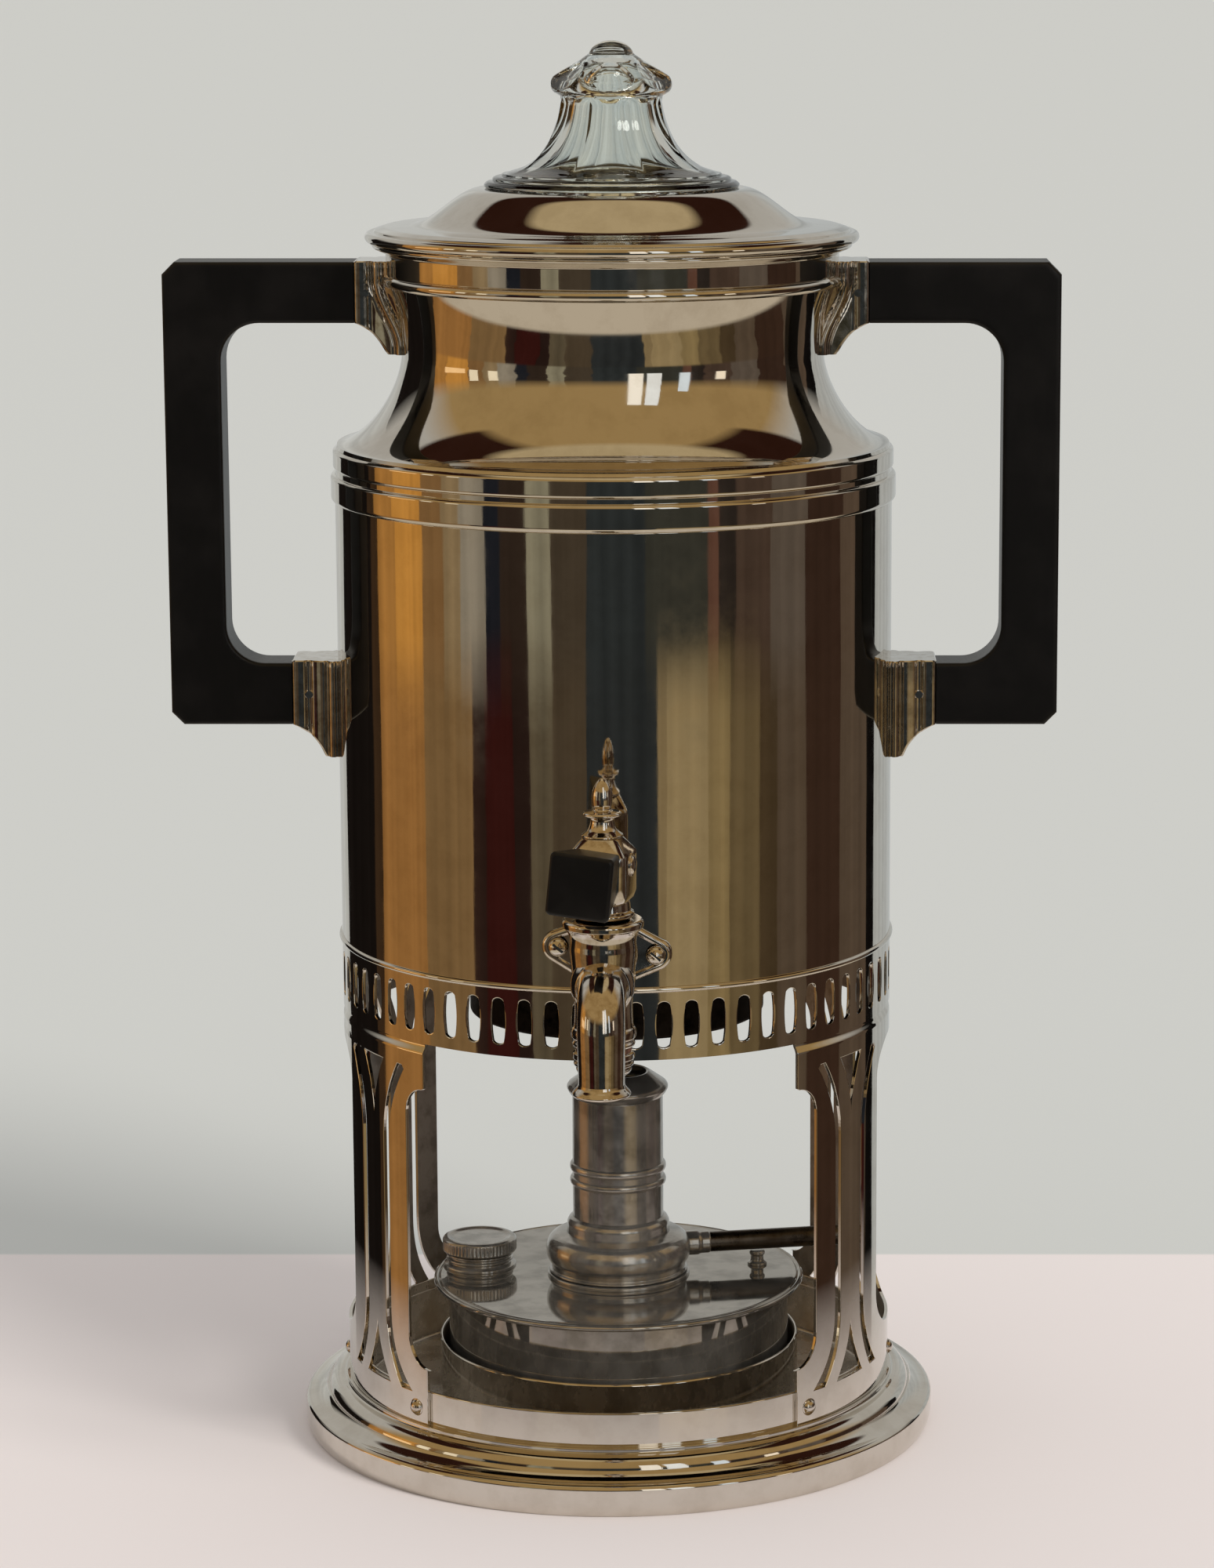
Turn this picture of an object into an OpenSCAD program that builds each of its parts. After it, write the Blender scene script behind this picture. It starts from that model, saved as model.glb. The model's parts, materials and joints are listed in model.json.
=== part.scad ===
/* [Foot] */
// How far the foot band stands out past the vessel
foot_out = 11.8; // [11.1:0.1:13.5]
// Height of the plain band round the foot
foot_band_h = 8; // [6.5:0.25:8.5]
// Height at which the side panels stand
panel_seat_z = 14.6; // [14.2:0.1:15.2]
// Height of the flange that the panels are riveted to
flange_h = 8.8; // [7.5:0.1:9]
// Height of the tray floor
tray_z = 7.2; // [7:0.1:8]

/* [Stand] */
// Height of the vent band's lower edge
stand_h = 116.2; // [114:0.2:120]
// Sheet thickness of the side panels
panel_t = 1; // [0.8:0.1:1.1]
// Angle of each column's middle, from the front or the back
column_deg = 58.6; // [58:0.1:59.4]
// Diameter of the rivet heads
rivet_head_d = 4.1; // [3.4:0.1:4.6]

/* [Vent band] */
// Height of the vent band
band_h = 18.1; // [17.5:0.1:20]
// Number of vent slots
slot_count = 64; // [48:4:64]
// Width of a vent slot
slot_w = 3.9; // [3:0.1:4.2]
// Length of a vent slot
slot_len = 11.9; // [9:0.1:12.5]

/* [Vessel] */
// Outer radius of the vessel
body_r = 72.5; // [72:0.1:73]
// Sheet thickness of the vessel
wall = 1; // [0.8:0.1:1.2]
// Height of the vessel's straight wall
body_h = 115.1; // [113:0.5:120]
// Outer radius of the heating well
well_r = 39; // [34:0.5:42]
// Depth of the heating well
well_depth = 21.3; // [18:0.1:22]

/* [Shoulder and neck] */
// How far the lower shoulder ring stands out
ring_out = 1; // [0.6:0.1:1.4]
// Height of the two shoulder rings
ring_stack_h = 13.8; // [12:0.2:16]
// Height of the concave neck
neck_h = 41.5; // [39:0.5:44]
// How far the band on the neck rim stands in from the vessel
rim_in = 13.9; // [13.1:0.1:14.3]
// How far the neck's waist lies inside that band
waist_in = 3.9; // [3.2:0.1:4.8]
// Height of the neck rim
rim_h = 10.8; // [10:0.1:12]

/* [Lid and glass] */
// How far the lid's brim stands out past the rim's band
brim_out = 5.2; // [4.4:0.1:6.4]
// Rise of the lid's dome above its brim
dome_h = 9.4; // [8.5:0.1:11]
// Outer radius of the glass foot
glass_r = 32.9; // [32:0.1:33.6]
// Height of the glass above the lid
glass_h = 37.4; // [35:0.2:40]
// Outer radius of the glass head
glass_head_r = 15.6; // [14:0.1:17]

/* [Handles] */
// Distance from the vessel to a handle's outer face
handle_out = 43.3; // [40.5:0.2:47.5]
// Height of a handle
handle_h = 120.6; // [119.5:0.1:122]
// Thickness of a handle's bars, seen from the front
handle_bar = 15.7; // [14.5:0.1:16.5]
// Depth of a handle, from front to back
handle_depth = 14.5; // [13:0.1:16]

/* [Tap] */
// Distance from the vessel to the plug's axis
tap_out = 27.5; // [26.5:0.2:31.5]
// Height of the tap's shank above the vessel's lower edge
tap_up = 10.4; // [10:0.1:11]
// Outer radius of the barrel
barrel_r = 8.3; // [8:0.1:8.8]
// Radius of the waterway
port_r = 3; // [2.4:0.1:3.2]
// Side of the square lever block
block_w = 15.9; // [14:0.1:17]
// Angle of the lever to the left of straight ahead
lever_yaw = 12; // [0:1:20]
// Distance between the flange's two screws
flange_pitch = 24.4; // [24:0.1:25.2]
// Tilt of the flange on the vessel
flange_tilt = 5; // [0:0.5:6]

/* [Burner] */
// Outer radius of the spirit tank
drum_r = 45.6; // [44.5:0.1:46]
// Outer radius of the top plate
plate_r = 49.6; // [48.6:0.1:50.4]
// Height of the top plate above the tray
plate_up = 32.2; // [31:0.1:33]
// Outer radius of the chimney
chimney_r = 12.1; // [11.5:0.1:12.6]
// Height of the chimney above the top plate
chimney_up = 49.3; // [46:0.1:50.5]
// Angle of the regulator lever behind the right side
lever_back = 11; // [8:1:15]
// Outer radius of the filler cap
cap_r = 10; // [9.4:0.1:10.6]

/* [Hidden] */

fine = 96;
air = 0.3;
run_fit = 0.05;
cut = 1;

// Heights, stacked from the table up
flange_top = panel_seat_z + flange_h;
band_top = stand_h + band_h;
body_top = band_top + body_h;
ring_top = body_top + ring_stack_h;
neck_top = ring_top + neck_h;
rim_top = neck_top + rim_h;
lid_z = rim_top + air;
brim_h = 4.4;
glass_z = lid_z + brim_h + dome_h;

// Everything keeps its place on the vessel as that grows
foot_r = body_r + foot_out;
rim_r = body_r - rim_in;
waist_r = rim_r - waist_in;
lid_r = rim_r + brim_out;
handle_reach = body_r + handle_out;
tap_reach = body_r + tap_out;

// Sheet radii of the stand: the panels stand flush with the vessel and lap over the flange
panel_or = body_r;
flange_or = panel_or - panel_t;
flange_sheet = 1;
tray_lip_t = 1;

silver = [0.80, 0.77, 0.72];
dull = [0.60, 0.58, 0.54];
black = [0.06, 0.05, 0.05];
clear = [0.86, 0.90, 0.88, 0.5];

// Points of an elliptical arc about c with radii a and b, from angle s to angle e
function arc(c, a, b, s, e, n = 8) =
    [for (i = [0:n]) let (t = s + (e - s) * i / n) [c[0] + a * cos(t), c[1] + b * sin(t)]];
function soft(t) = 3 * t * t - 2 * t * t * t;
// A smooth S from point p to point q, level at both ends, for a profile that rises inward
function ogee(p, q, n = 8) =
    [for (i = [0:n]) let (t = i / n) [p[0] + (q[0] - p[0]) * t, p[1] + (q[1] - p[1]) * soft(t)]];
function backward(pts) = [for (i = [len(pts) - 1:-1:0]) pts[i]];
function shifted(pts, dr, dz) = [for (p = pts) [p[0] + dr, p[1] + dz]];

// A spun solid from a half profile
module spun(pts, n = fine) { rotate_extrude($fn = n) polygon(pts); }
// A plain ring between two radii and two heights
module ring(ri, ro, z0, z1, n = fine) {
    translate([0, 0, z0]) difference() {
        cylinder(r = ro, h = z1 - z0, $fn = n);
        translate([0, 0, -cut]) cylinder(r = ri, h = z1 - z0 + 2 * cut, $fn = n);
    }
}
module mirrored() { children(); mirror([1, 0, 0]) children(); }
// A round bar along Y, from y0 back to y1
module bar_y(r, y0, y1, n = 32) {
    translate([0, y0, 0]) rotate([-90, 0, 0]) cylinder(r = r, h = y1 - y0, $fn = n);
}

// ---- Foot ----
foot_tuck = 1.1;
foot_sheet = 0.9;
rivet_r = 1.1;
rivet_up = 4;
rivet_degs = [-135.4, -90, -44.6, 44.6, 90, 135.4];

// Outer face of the foot: band, concave sweep, bead, step and flange
function foot_outer() = concat(
    [[foot_r - foot_tuck, 0], [foot_r - 0.3, 1.5], [foot_r, 3], [foot_r, foot_band_h - 0.7]],
    [[foot_r - 0.7, foot_band_h]],
    arc([foot_r - 1, foot_band_h + 3.6], 5.2, 3.3, 270, 200, 6),
    [[panel_or + 5.6, panel_seat_z - 4.1]],
    arc([panel_or + 2.1, panel_seat_z - 4.6], 3.5, 3.4, 10, 95, 7),
    [[panel_or + 1.4, panel_seat_z - 1.2], [panel_or + 1, panel_seat_z - 0.9],
    [panel_or + 0.9, panel_seat_z]],
    [[flange_or, panel_seat_z], [flange_or, flange_top - 0.5], [flange_or - 0.5, flange_top]]);
// Inner face, one sheet in from the outer face
function foot_inner() = concat(
    [[flange_or - flange_sheet, flange_top], [flange_or - flange_sheet, panel_seat_z - foot_sheet]],
    [[panel_or + 0.1, panel_seat_z - 1.8], [panel_or + 1.7, panel_seat_z - 2.2]],
    arc([panel_or + 2.1, panel_seat_z - 4.6], 2.6, 2.5, 80, 10, 4),
    backward(arc([foot_r - 1, foot_band_h + 3.6], 6.1, 4.2, 270, 205, 6)),
    [[foot_r - foot_sheet, foot_band_h - 1.6], [foot_r - foot_sheet - 0.1, 3],
    [foot_r - foot_tuck - foot_sheet, 0]]);

module rivet_holes() {
    for (a = rivet_degs) rotate([0, 0, a]) translate([0, 0, panel_seat_z + rivet_up])
        bar_y(rivet_r, -body_r - 4, -flange_or + 4, 24);
}
module base_ring() {
    color(silver) difference() { spun(concat(foot_outer(), foot_inner())); rivet_holes(); }
}
module tray_floor() {
    tray_r = flange_or - flange_sheet;
    lip_top = flange_top - 2.4;
    color(silver) difference() {
        spun([[0, tray_z - 1], [tray_r, tray_z - 1], [tray_r, lip_top], [tray_r - tray_lip_t, lip_top],
            [tray_r - tray_lip_t, tray_z + 0.8], [tray_r - tray_lip_t - 0.8, tray_z], [0, tray_z]]);
        rivet_holes();
    }
}
holder_r = drum_r + 2.6;
holder_h = 16.1;
module burner_holder() {
    rim = tray_z + holder_h;
    color(silver) spun([[holder_r - 1, tray_z], [holder_r, tray_z], [holder_r, rim - 0.4],
        [holder_r - 0.3, rim], [holder_r - 0.7, rim], [holder_r - 1, rim - 0.4]]);
}

// ---- Side panels ----
tuck_up = 2.4;
edge_tab = 21.6;
edge_waist = 15;
tab_low = stand_h - 12;
flare_low = panel_seat_z + 14.7;
window_low = panel_seat_z + 15;
window_high = stand_h - 8.2;
curl_low = panel_seat_z + 29.4;
curl_high = stand_h - 28.2;

// How far a curled slot's middle lies from the column's middle at height z
function curl_down(z) = max(0, (curl_low - z) / 21);
function curl_up(z) = max(0, (z - curl_high) / 20);
function slot_off(z) = 6.1 + 7.2 * pow(curl_down(z), 2.5) + 6.4 * pow(curl_up(z), 2);
function slot_half(z) = 1.2 + 0.9 * pow(curl_down(z), 3) + 0.4 * curl_up(z);
// One long slot that curls outward at both ends; side is 1 or -1
module curled_slot(side) {
    low = panel_seat_z + 8;
    high = stand_h - 8;
    zs = concat([for (i = [0:7]) low + (curl_low - low) * i / 7],
        [for (i = [0:7]) curl_high + (high - curl_high) * i / 7]);
    polygon(concat([for (z = zs) [side * (slot_off(z) + slot_half(z)), z]],
        [[side * (slot_off(high) + 0.9), high + 1], [side * (slot_off(high) - 0.9), high + 1.1]],
        backward([for (z = zs) [side * (slot_off(z) - slot_half(z)), z]])));
}
// Pointed opening with curved sides, from its apex to its base; both are heights
module pointed_opening(apex, base, half) {
    pts = [for (i = [1:7]) let (t = i / 7) [half * (0.62 * t * t + 0.38 * t), apex + (base - apex) * t]];
    polygon(concat([[0, apex]], pts, backward([for (q = pts) [-q[0], q[1]]])));
}
module column_piercing() {
    curled_slot(1);
    curled_slot(-1);
    pointed_opening(stand_h - 21.2, stand_h - 6.8, 5.2);
    pointed_opening(panel_seat_z + 23, panel_seat_z + 8.2, 6.4);
}
// Waste outside a column's front edge, toward +x in the flat drawing
module column_edge_waste() {
    far = 34;
    polygon(concat(
        [[edge_tab, stand_h + 9], [edge_tab, tab_low]],
        arc([edge_waist + 6, tab_low - 7.4], 6, 7, 90, 180, 6),
        arc([edge_waist + 7.4, flare_low + 8.7], 7.4, 8.7, 180, 270, 8),
        [[edge_tab, flare_low], [edge_tab, panel_seat_z - 5], [far, panel_seat_z - 5], [far, stand_h + 9]]));
}
// Rounded opening in the middle of a panel
module side_window() {
    half = panel_or * sin(90 - column_deg) - edge_waist;
    wide = 14;
    polygon(concat(
        arc([half - wide, window_high - 9], wide, 9, 0, 90, 6),
        arc([-half + wide, window_high - 9], wide, 9, 90, 180, 6),
        arc([-half + wide, window_low + 11], wide, 11, 180, 270, 7),
        arc([half - wide, window_low + 11], wide, 11, 270, 360, 7)));
}
// Cuts a flat drawing, seen from outside, through the sheet at angle a from the front
module through_sheet(a) {
    rotate([0, 0, a]) translate([0, -panel_or + 12, 0]) rotate([90, 0, 0]) linear_extrude(24) children();
}
module side_panel() {
    // The sheet steps in at the top to pass behind the vent band
    step_z = stand_h - 3;
    step_line = [for (i = [0:5]) let (t = i / 5) [panel_or - wall * soft(t), step_z + 2.4 * t]];
    difference() {
        spun(concat([[panel_or, panel_seat_z]], step_line, [[panel_or - wall, stand_h + tuck_up]],
            [[panel_or - wall - panel_t, stand_h + tuck_up]], backward(shifted(step_line, -panel_t, 0)),
            [[flange_or, panel_seat_z]]));
        translate([-2 * body_r, -2 * body_r, 0]) cube([2.6 * body_r, 4 * body_r, 2 * stand_h]);
        for (a = [column_deg, 180 - column_deg]) through_sheet(a) column_piercing();
        through_sheet(column_deg) mirror([1, 0, 0]) column_edge_waste();
        through_sheet(180 - column_deg) column_edge_waste();
        through_sheet(90) side_window();
        rivet_holes();
    }
}
module side_panel_right() { color(silver) side_panel(); }
module side_panel_left() { color(silver) mirror([1, 0, 0]) side_panel(); }
module panel_rivets() {
    head_r = rivet_head_d / 2;
    color(silver) for (a = rivet_degs) rotate([0, 0, a]) translate([0, 0, panel_seat_z + rivet_up]) {
        difference() {
            translate([0, -panel_or + 0.5, 0]) sphere(r = head_r, $fn = 32);
            rotate([0, 0, -a]) translate([0, 0, -5]) cylinder(r = panel_or, h = 10, $fn = fine);
        }
        intersection() {
            bar_y(rivet_r, -panel_or - 0.5, -flange_or + 2.4, 24);
            rotate([0, 0, -a]) ring(flange_or - flange_sheet - tray_lip_t, panel_or + 0.3, -5, 5);
        }
    }
}

// ---- Vent band ----
module vent_band() {
    slot_z = stand_h + 3 + slot_len / 2;
    color(silver) difference() {
        ring(body_r - wall, body_r, stand_h, band_top, 128);
        for (i = [0:slot_count - 1]) rotate([0, 0, i * 360 / slot_count])
            translate([0, -panel_or + 3, slot_z]) rotate([90, 0, 0]) linear_extrude(8) vent_outline();
    }
}
module vent_outline() {
    half = (slot_len - slot_w) / 2;
    polygon(concat(arc([0, half], slot_w / 2, slot_w / 2, 0, 180, 8),
        arc([0, -half], slot_w / 2, slot_w / 2, 180, 360, 8)));
}
bead_r = 0.75;
module band_bead() {
    color(silver) spun(concat([[body_r, band_top - bead_r]],
        arc([body_r, band_top], bead_r, bead_r, -80, 80, 8), [[body_r, band_top + bead_r]]), 128);
}

// ---- Vessel ----
tap_z = band_top + tap_up;
shank_r = 6;
screw_r = 1.3;
// Places something on the tap's level, with the flange's tilt
module at_flange() { translate([0, 0, tap_z]) rotate([0, flange_tilt, 0]) children(); }
module tap_holes() {
    translate([0, 0, tap_z]) bar_y(shank_r, -body_r - 6, -body_r + 8);
    at_flange() for (s = [-1, 1]) translate([s * flange_pitch / 2, 0, 0])
        bar_y(screw_r, -body_r - 2, -body_r + 6, 24);
}
module vessel_shell() {
    color(silver) difference() {
        spun([[well_r, band_top], [body_r, band_top], [body_r, body_top], [body_r - wall, body_top],
            [body_r - wall, band_top + 2.5], [body_r - wall - 1.5, band_top + wall],
            [well_r, band_top + wall]], 128);
        tap_holes();
    }
}
module heating_well() {
    low = band_top - well_depth;
    lip = 3;
    color(silver) spun([[0, low], [well_r - 3, low], [well_r, low + 3], [well_r, band_top + wall],
        [well_r + lip, band_top + wall], [well_r + lip, band_top + 2 * wall],
        [well_r - wall, band_top + 2 * wall],
        [well_r - wall, low + 3.4], [well_r - 3.4, low + wall], [0, low + wall]]);
}

// ---- Shoulder, neck and rim ----
module shoulder_rings() {
    low_r = body_r + ring_out;
    high_r = body_r + 0.4 * ring_out;
    low_top = body_top + 0.5 * ring_stack_h;
    gap_top = body_top + 0.64 * ring_stack_h;
    color(silver) spun([[body_r - wall, body_top], [body_r, body_top], [low_r - 0.3, body_top + 0.5],
        [low_r, body_top + 0.9], [low_r, low_top - 0.4], [low_r - 0.4, low_top],
        [body_r - 0.1, low_top + 0.3],
        [body_r - 0.1, gap_top - 0.3], [high_r - 0.2, gap_top], [high_r, gap_top + 0.3],
        [high_r, ring_top - 0.8], [high_r - 0.8, ring_top], [body_r - wall, ring_top]], 128);
}
// The rim's sheet, between its outer band and the mouth
rim_lip = 1.6;
// Outer line of the neck: shoulder, waist and flare
function neck_line() = let (waist_z = ring_top + 0.573 * neck_h) concat(
    [[body_r - 0.4, ring_top]],
    [for (i = [0:14]) let (t = 90 * i / 14) [body_r - 0.8 - (body_r - 0.8 - waist_r) * pow(sin(t), 1.25),
        waist_z - (waist_z - ring_top - 0.9) * pow(cos(t), 1.25)]],
    [for (i = [1:8]) let (t = i / 8)
        [waist_r + (rim_r - 0.6 - waist_r) * t * t, waist_z + (neck_top - waist_z) * t]]);
module neck_shell() {
    line = neck_line();
    color(silver) spun(concat(line, [[rim_r - rim_lip, neck_top]],
        backward([for (i = [1:len(line) - 2]) [line[i][0] - wall - 0.15, max(line[i][1] - 0.9, ring_top)]]),
        [[body_r - wall - 1.4, ring_top]]), 128);
}
bead_h = 3;
// Outer line of the bead under the rim's band
function rim_bead(extra = 0) =
    arc([rim_r - 0.5, neck_top + bead_h / 2], bead_h / 2 + extra, bead_h / 2 + extra, -75, 75, 8);
module neck_rim() {
    band_hi = neck_top + 0.8 * rim_h;
    color(silver) spun(concat([[rim_r - rim_lip, neck_top]], rim_bead(),
        [[rim_r, neck_top + bead_h + 0.3], [rim_r, band_hi - 0.4], [rim_r + 0.6, band_hi],
        [rim_r + 3.2, rim_top - 0.9], [rim_r + 3.4, rim_top - 0.4], [rim_r + 3.2, rim_top],
        [rim_r - rim_lip, rim_top]]), 128);
}

// ---- Handles and their sockets ----
handle_top = rim_top - 4.6;
handle_low = handle_top - handle_h;
low_bar = handle_bar + 0.5;
arm_top_x = rim_r + 7.8;
arm_low_x = body_r + 11.7;
arm_top_z = handle_top - handle_bar / 2;
arm_low_z = handle_low + low_bar / 2;
tenon_r = 4.5;
tenon_top = 5.5;
tenon_low = 8;
pin_r = 1;
through = 40;

// The handle's outline from the front: square outer corners cut off, round inner corners
module handle_outline() {
    bevel = 3.2;
    bend = 10;
    inner_x = handle_reach - 14.8;
    polygon(concat(
        [[arm_top_x, handle_top], [handle_reach - bevel, handle_top], [handle_reach, handle_top - bevel],
        [handle_reach, handle_low + bevel], [handle_reach - bevel, handle_low], [arm_low_x, handle_low],
        [arm_low_x, handle_low + low_bar]],
        arc([inner_x - bend, handle_low + low_bar + bend], bend, bend, -90, 0, 8),
        arc([inner_x - bend, handle_top - handle_bar - bend], bend, bend, 0, 90, 8),
        [[arm_top_x, handle_top - handle_bar]]));
}
module front_plate(depth) {
    translate([0, depth / 2, 0]) rotate([90, 0, 0]) linear_extrude(depth) children();
}
module bar_x(r, x0, x1, n = 32) {
    translate([x0, 0, 0]) rotate([0, 90, 0]) cylinder(r = r, h = x1 - x0, $fn = n);
}
module tenons(extra = 0) {
    translate([0, 0, arm_top_z]) bar_x(tenon_r, arm_top_x - tenon_top, arm_top_x + extra);
    translate([0, 0, arm_low_z]) bar_x(tenon_r, arm_low_x - tenon_low, arm_low_x + extra);
}
module pins(len) {
    translate([arm_top_x - 3, 0, arm_top_z]) bar_y(pin_r, -len / 2, len / 2, 24);
    translate([arm_low_x - 4.5, 0, arm_low_z]) bar_y(pin_r, -len / 2, len / 2, 24);
}
module handle() {
    color(black) difference() {
        union() {
            front_plate(handle_depth) handle_outline();
            tenons(1);
        }
        pins(through);
    }
}
module handle_right() { handle(); }
module handle_left() { mirror([1, 0, 0]) handle(); }
module handle_pins() { color(silver) mirrored() pins(handle_depth + 1.6); }

// What the sockets must not enter: the outside of the neck and its rim, and of the vessel
module urn_outside() {
    spun(concat([[0, ring_top]], neck_line(), rim_bead(run_fit),
        [[rim_r + run_fit, neck_top + bead_h + 0.3], [rim_r + run_fit, rim_top], [0, rim_top]]), 128);
    translate([0, 0, band_top]) cylinder(r = body_r, h = body_h, $fn = 128);
}
socket_w = handle_depth + 0.6;
// Upper socket from the side: level top, and an underside that sweeps down to a point on the neck
module socket_top_side() {
    low = handle_top - handle_bar;
    polygon(concat([[arm_top_x, handle_top + 0.3], [rim_r - 6, handle_top + 0.3], [rim_r - 6, low - 7.9]],
        arc([rim_r - 2.6, low - 3.9], 3, 4, -90, -20, 4),
        arc([arm_top_x, low - 6.6], 6, 6.2, 160, 90, 5)));
}
// Lower socket from the side: level top, and a concave underside down to a point on the vessel
module socket_low_side() {
    high = handle_low + low_bar + 0.9;
    polygon(concat([[arm_low_x, high], [body_r - 4, high], [body_r - 4, handle_low - 8.2]],
        [[body_r, handle_low - 8]],
        arc([arm_low_x, handle_low - 8], arm_low_x - body_r - 1.2, 7.8, 178, 90, 8)));
}
// Sockets from above: parallel at the handle, wider on the urn
module socket_plan(x_out, x_in) {
    w = socket_w / 2;
    polygon([[x_out, w], [x_out - 3, w], [x_in, w + 2.2], [x_in - 12, w + 2.2], [x_in - 12, -w - 2.2],
        [x_in, -w - 2.2], [x_out - 3, -w], [x_out, -w]]);
}
module socket(x_out, x_in) {
    difference() {
        intersection() {
            front_plate(through) children();
            translate([0, 0, handle_low - through]) linear_extrude(handle_h + 2 * through)
                socket_plan(x_out, x_in);
        }
        urn_outside();
        tenons();
        pins(through);
    }
}
module socket_top_right() { color(silver) socket(arm_top_x, rim_r) socket_top_side(); }
module socket_top_left() { color(silver) mirror([1, 0, 0]) socket(arm_top_x, rim_r) socket_top_side(); }
module socket_bottom_right() { color(silver) socket(arm_low_x, body_r) socket_low_side(); }
module socket_bottom_left() { color(silver) mirror([1, 0, 0]) socket(arm_low_x, body_r) socket_low_side(); }

// ---- Lid ----
skirt_r = rim_r - rim_lip - air;
glass_hole = 28.2;
module lid_shell() {
    roll = 1.4;
    brim_top = lid_z + brim_h;
    dome = ogee([rim_r - 6.1, brim_top], [glass_r + 1, glass_z], 12);
    color(silver) spun(concat(
        [[skirt_r, lid_z], [lid_r - roll, lid_z]],
        arc([lid_r - roll, lid_z + roll], roll, roll, -90, 110, 9),
        [[lid_r - 2.3, lid_z + 2.9], [lid_r - 2.6, lid_z + 3.4], [lid_r - 5, brim_top - 0.3]],
        dome, [[glass_hole, glass_z], [glass_hole, glass_z - wall]],
        backward(shifted(dome, -0.5, -wall)), [[skirt_r, lid_z + 1]]), 128);
}
module lid_skirt() { color(silver) ring(skirt_r - 0.9, skirt_r, lid_z - 6.5, lid_z + 1, 128); }
glass_bore = 25;
module glass_knob() {
    h = glass_z;
    head = glass_head_r;
    color(clear) spun(concat(
        [[glass_bore, h - 5], [glass_hole, h - 5], [glass_hole, h], [glass_r - 0.4, h], [glass_r, h + 0.5],
        [glass_r, h + 1.1], [glass_r - 0.8, h + 1.7], [glass_r - 2, h + 1.9], [glass_r - 2.2, h + 2.6],
        [glass_r - 3, h + 3], [glass_r - 4.4, h + 3.1], [glass_r - 4.7, h + 3.7]],
        [for (i = [0:9]) let (t = 10 * i)
            [13.4 + 14.2 * pow(1 - sin(t), 1.25), h + 23.4 - 19.6 * pow(cos(t), 1.15)]],
        arc([head - 1.6, h + 26.3], 1.6, 2.3, -70, 55, 6),
        [[0.74 * head, h + 0.81 * glass_h], [0.5 * head, h + 0.88 * glass_h]],
        arc([0, h + 0.91 * glass_h], 0.34 * head, 0.09 * glass_h, 8, 90, 6),
        [[0, h + 0.82 * glass_h], [5, h + 0.81 * glass_h], [9.6, h + 25.5], [10, h + 20], [11.5, h + 14.5],
        [15, h + 9], [20, h + 4.4], [glass_bore, h + 1]]), fine);
}
module glass_ring() {
    high = glass_z - wall;
    color(silver) spun([[glass_hole, high - 3], [glass_hole + 3.2, high - 3], [glass_hole + 3.4, high - 2.6],
        [glass_hole + 3.4, high], [glass_hole, high]]);
}

// ---- Tap ----
tap_plate_t = 2.2;
spout_r = 5.7;
spout_out = 16.5;
spout_bend = 9;
spout_drop = 1.5;
spout_len = 15.5;
spout_bore = 3.8;
barrel_up = 14.3;
barrel_down = 17.4;
taper_top = 5.8;
taper_low = 4.6;
// Radius of the barrel's tapered bore at height z from the tap's axis
function taper(z) = taper_low + (taper_top - taper_low) * (z + barrel_down) / (barrel_up + barrel_down);
module flange_outline() {
    ear = 4.1;
    half = flange_pitch / 2;
    polygon(concat(arc([half, 0], ear, ear, -70, 70, 8), arc([0, -3.4], 12.6, 12.6, 56, 124, 8),
        arc([-half, 0], ear, ear, 110, 250, 8), arc([0, 3.4], 12.6, 12.6, 236, 304, 8)));
}
module tap_flange() {
    color(silver) difference() {
        intersection() {
            ring(body_r, body_r + tap_plate_t, tap_z - 20, tap_z + 20, 128);
            at_flange() translate([0, -body_r + 12, 0]) rotate([90, 0, 0]) linear_extrude(20)
                flange_outline();
        }
        tap_holes();
    }
}
module tap_screws() {
    head_r = 2.5;
    color(silver) for (s = [-1, 1]) difference() {
        at_flange() translate([s * flange_pitch / 2, 0, 0]) {
            bar_y(screw_r, -body_r - tap_plate_t, -body_r + 4, 24);
            translate([0, -body_r - tap_plate_t + 1.4, 0]) intersection() {
                sphere(r = head_r, $fn = 32);
                translate([0, -5, 0]) cube([10, 10, 10], center = true);
            }
        }
        difference() {
            translate([0, 0, tap_z - 20]) cylinder(r = body_r + tap_plate_t, h = 40, $fn = 128);
            at_flange() translate([s * flange_pitch / 2, 0, 0]) bar_y(screw_r, -body_r - 6, -body_r + 6, 24);
        }
        at_flange() translate([s * flange_pitch / 2, -body_r - tap_plate_t - 1.2, 0]) rotate([0, 35, 0])
            cube([10, 1.4, 0.7], center = true);
    }
}
module at_plug() { translate([0, -tap_reach, tap_z]) children(); }
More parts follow.
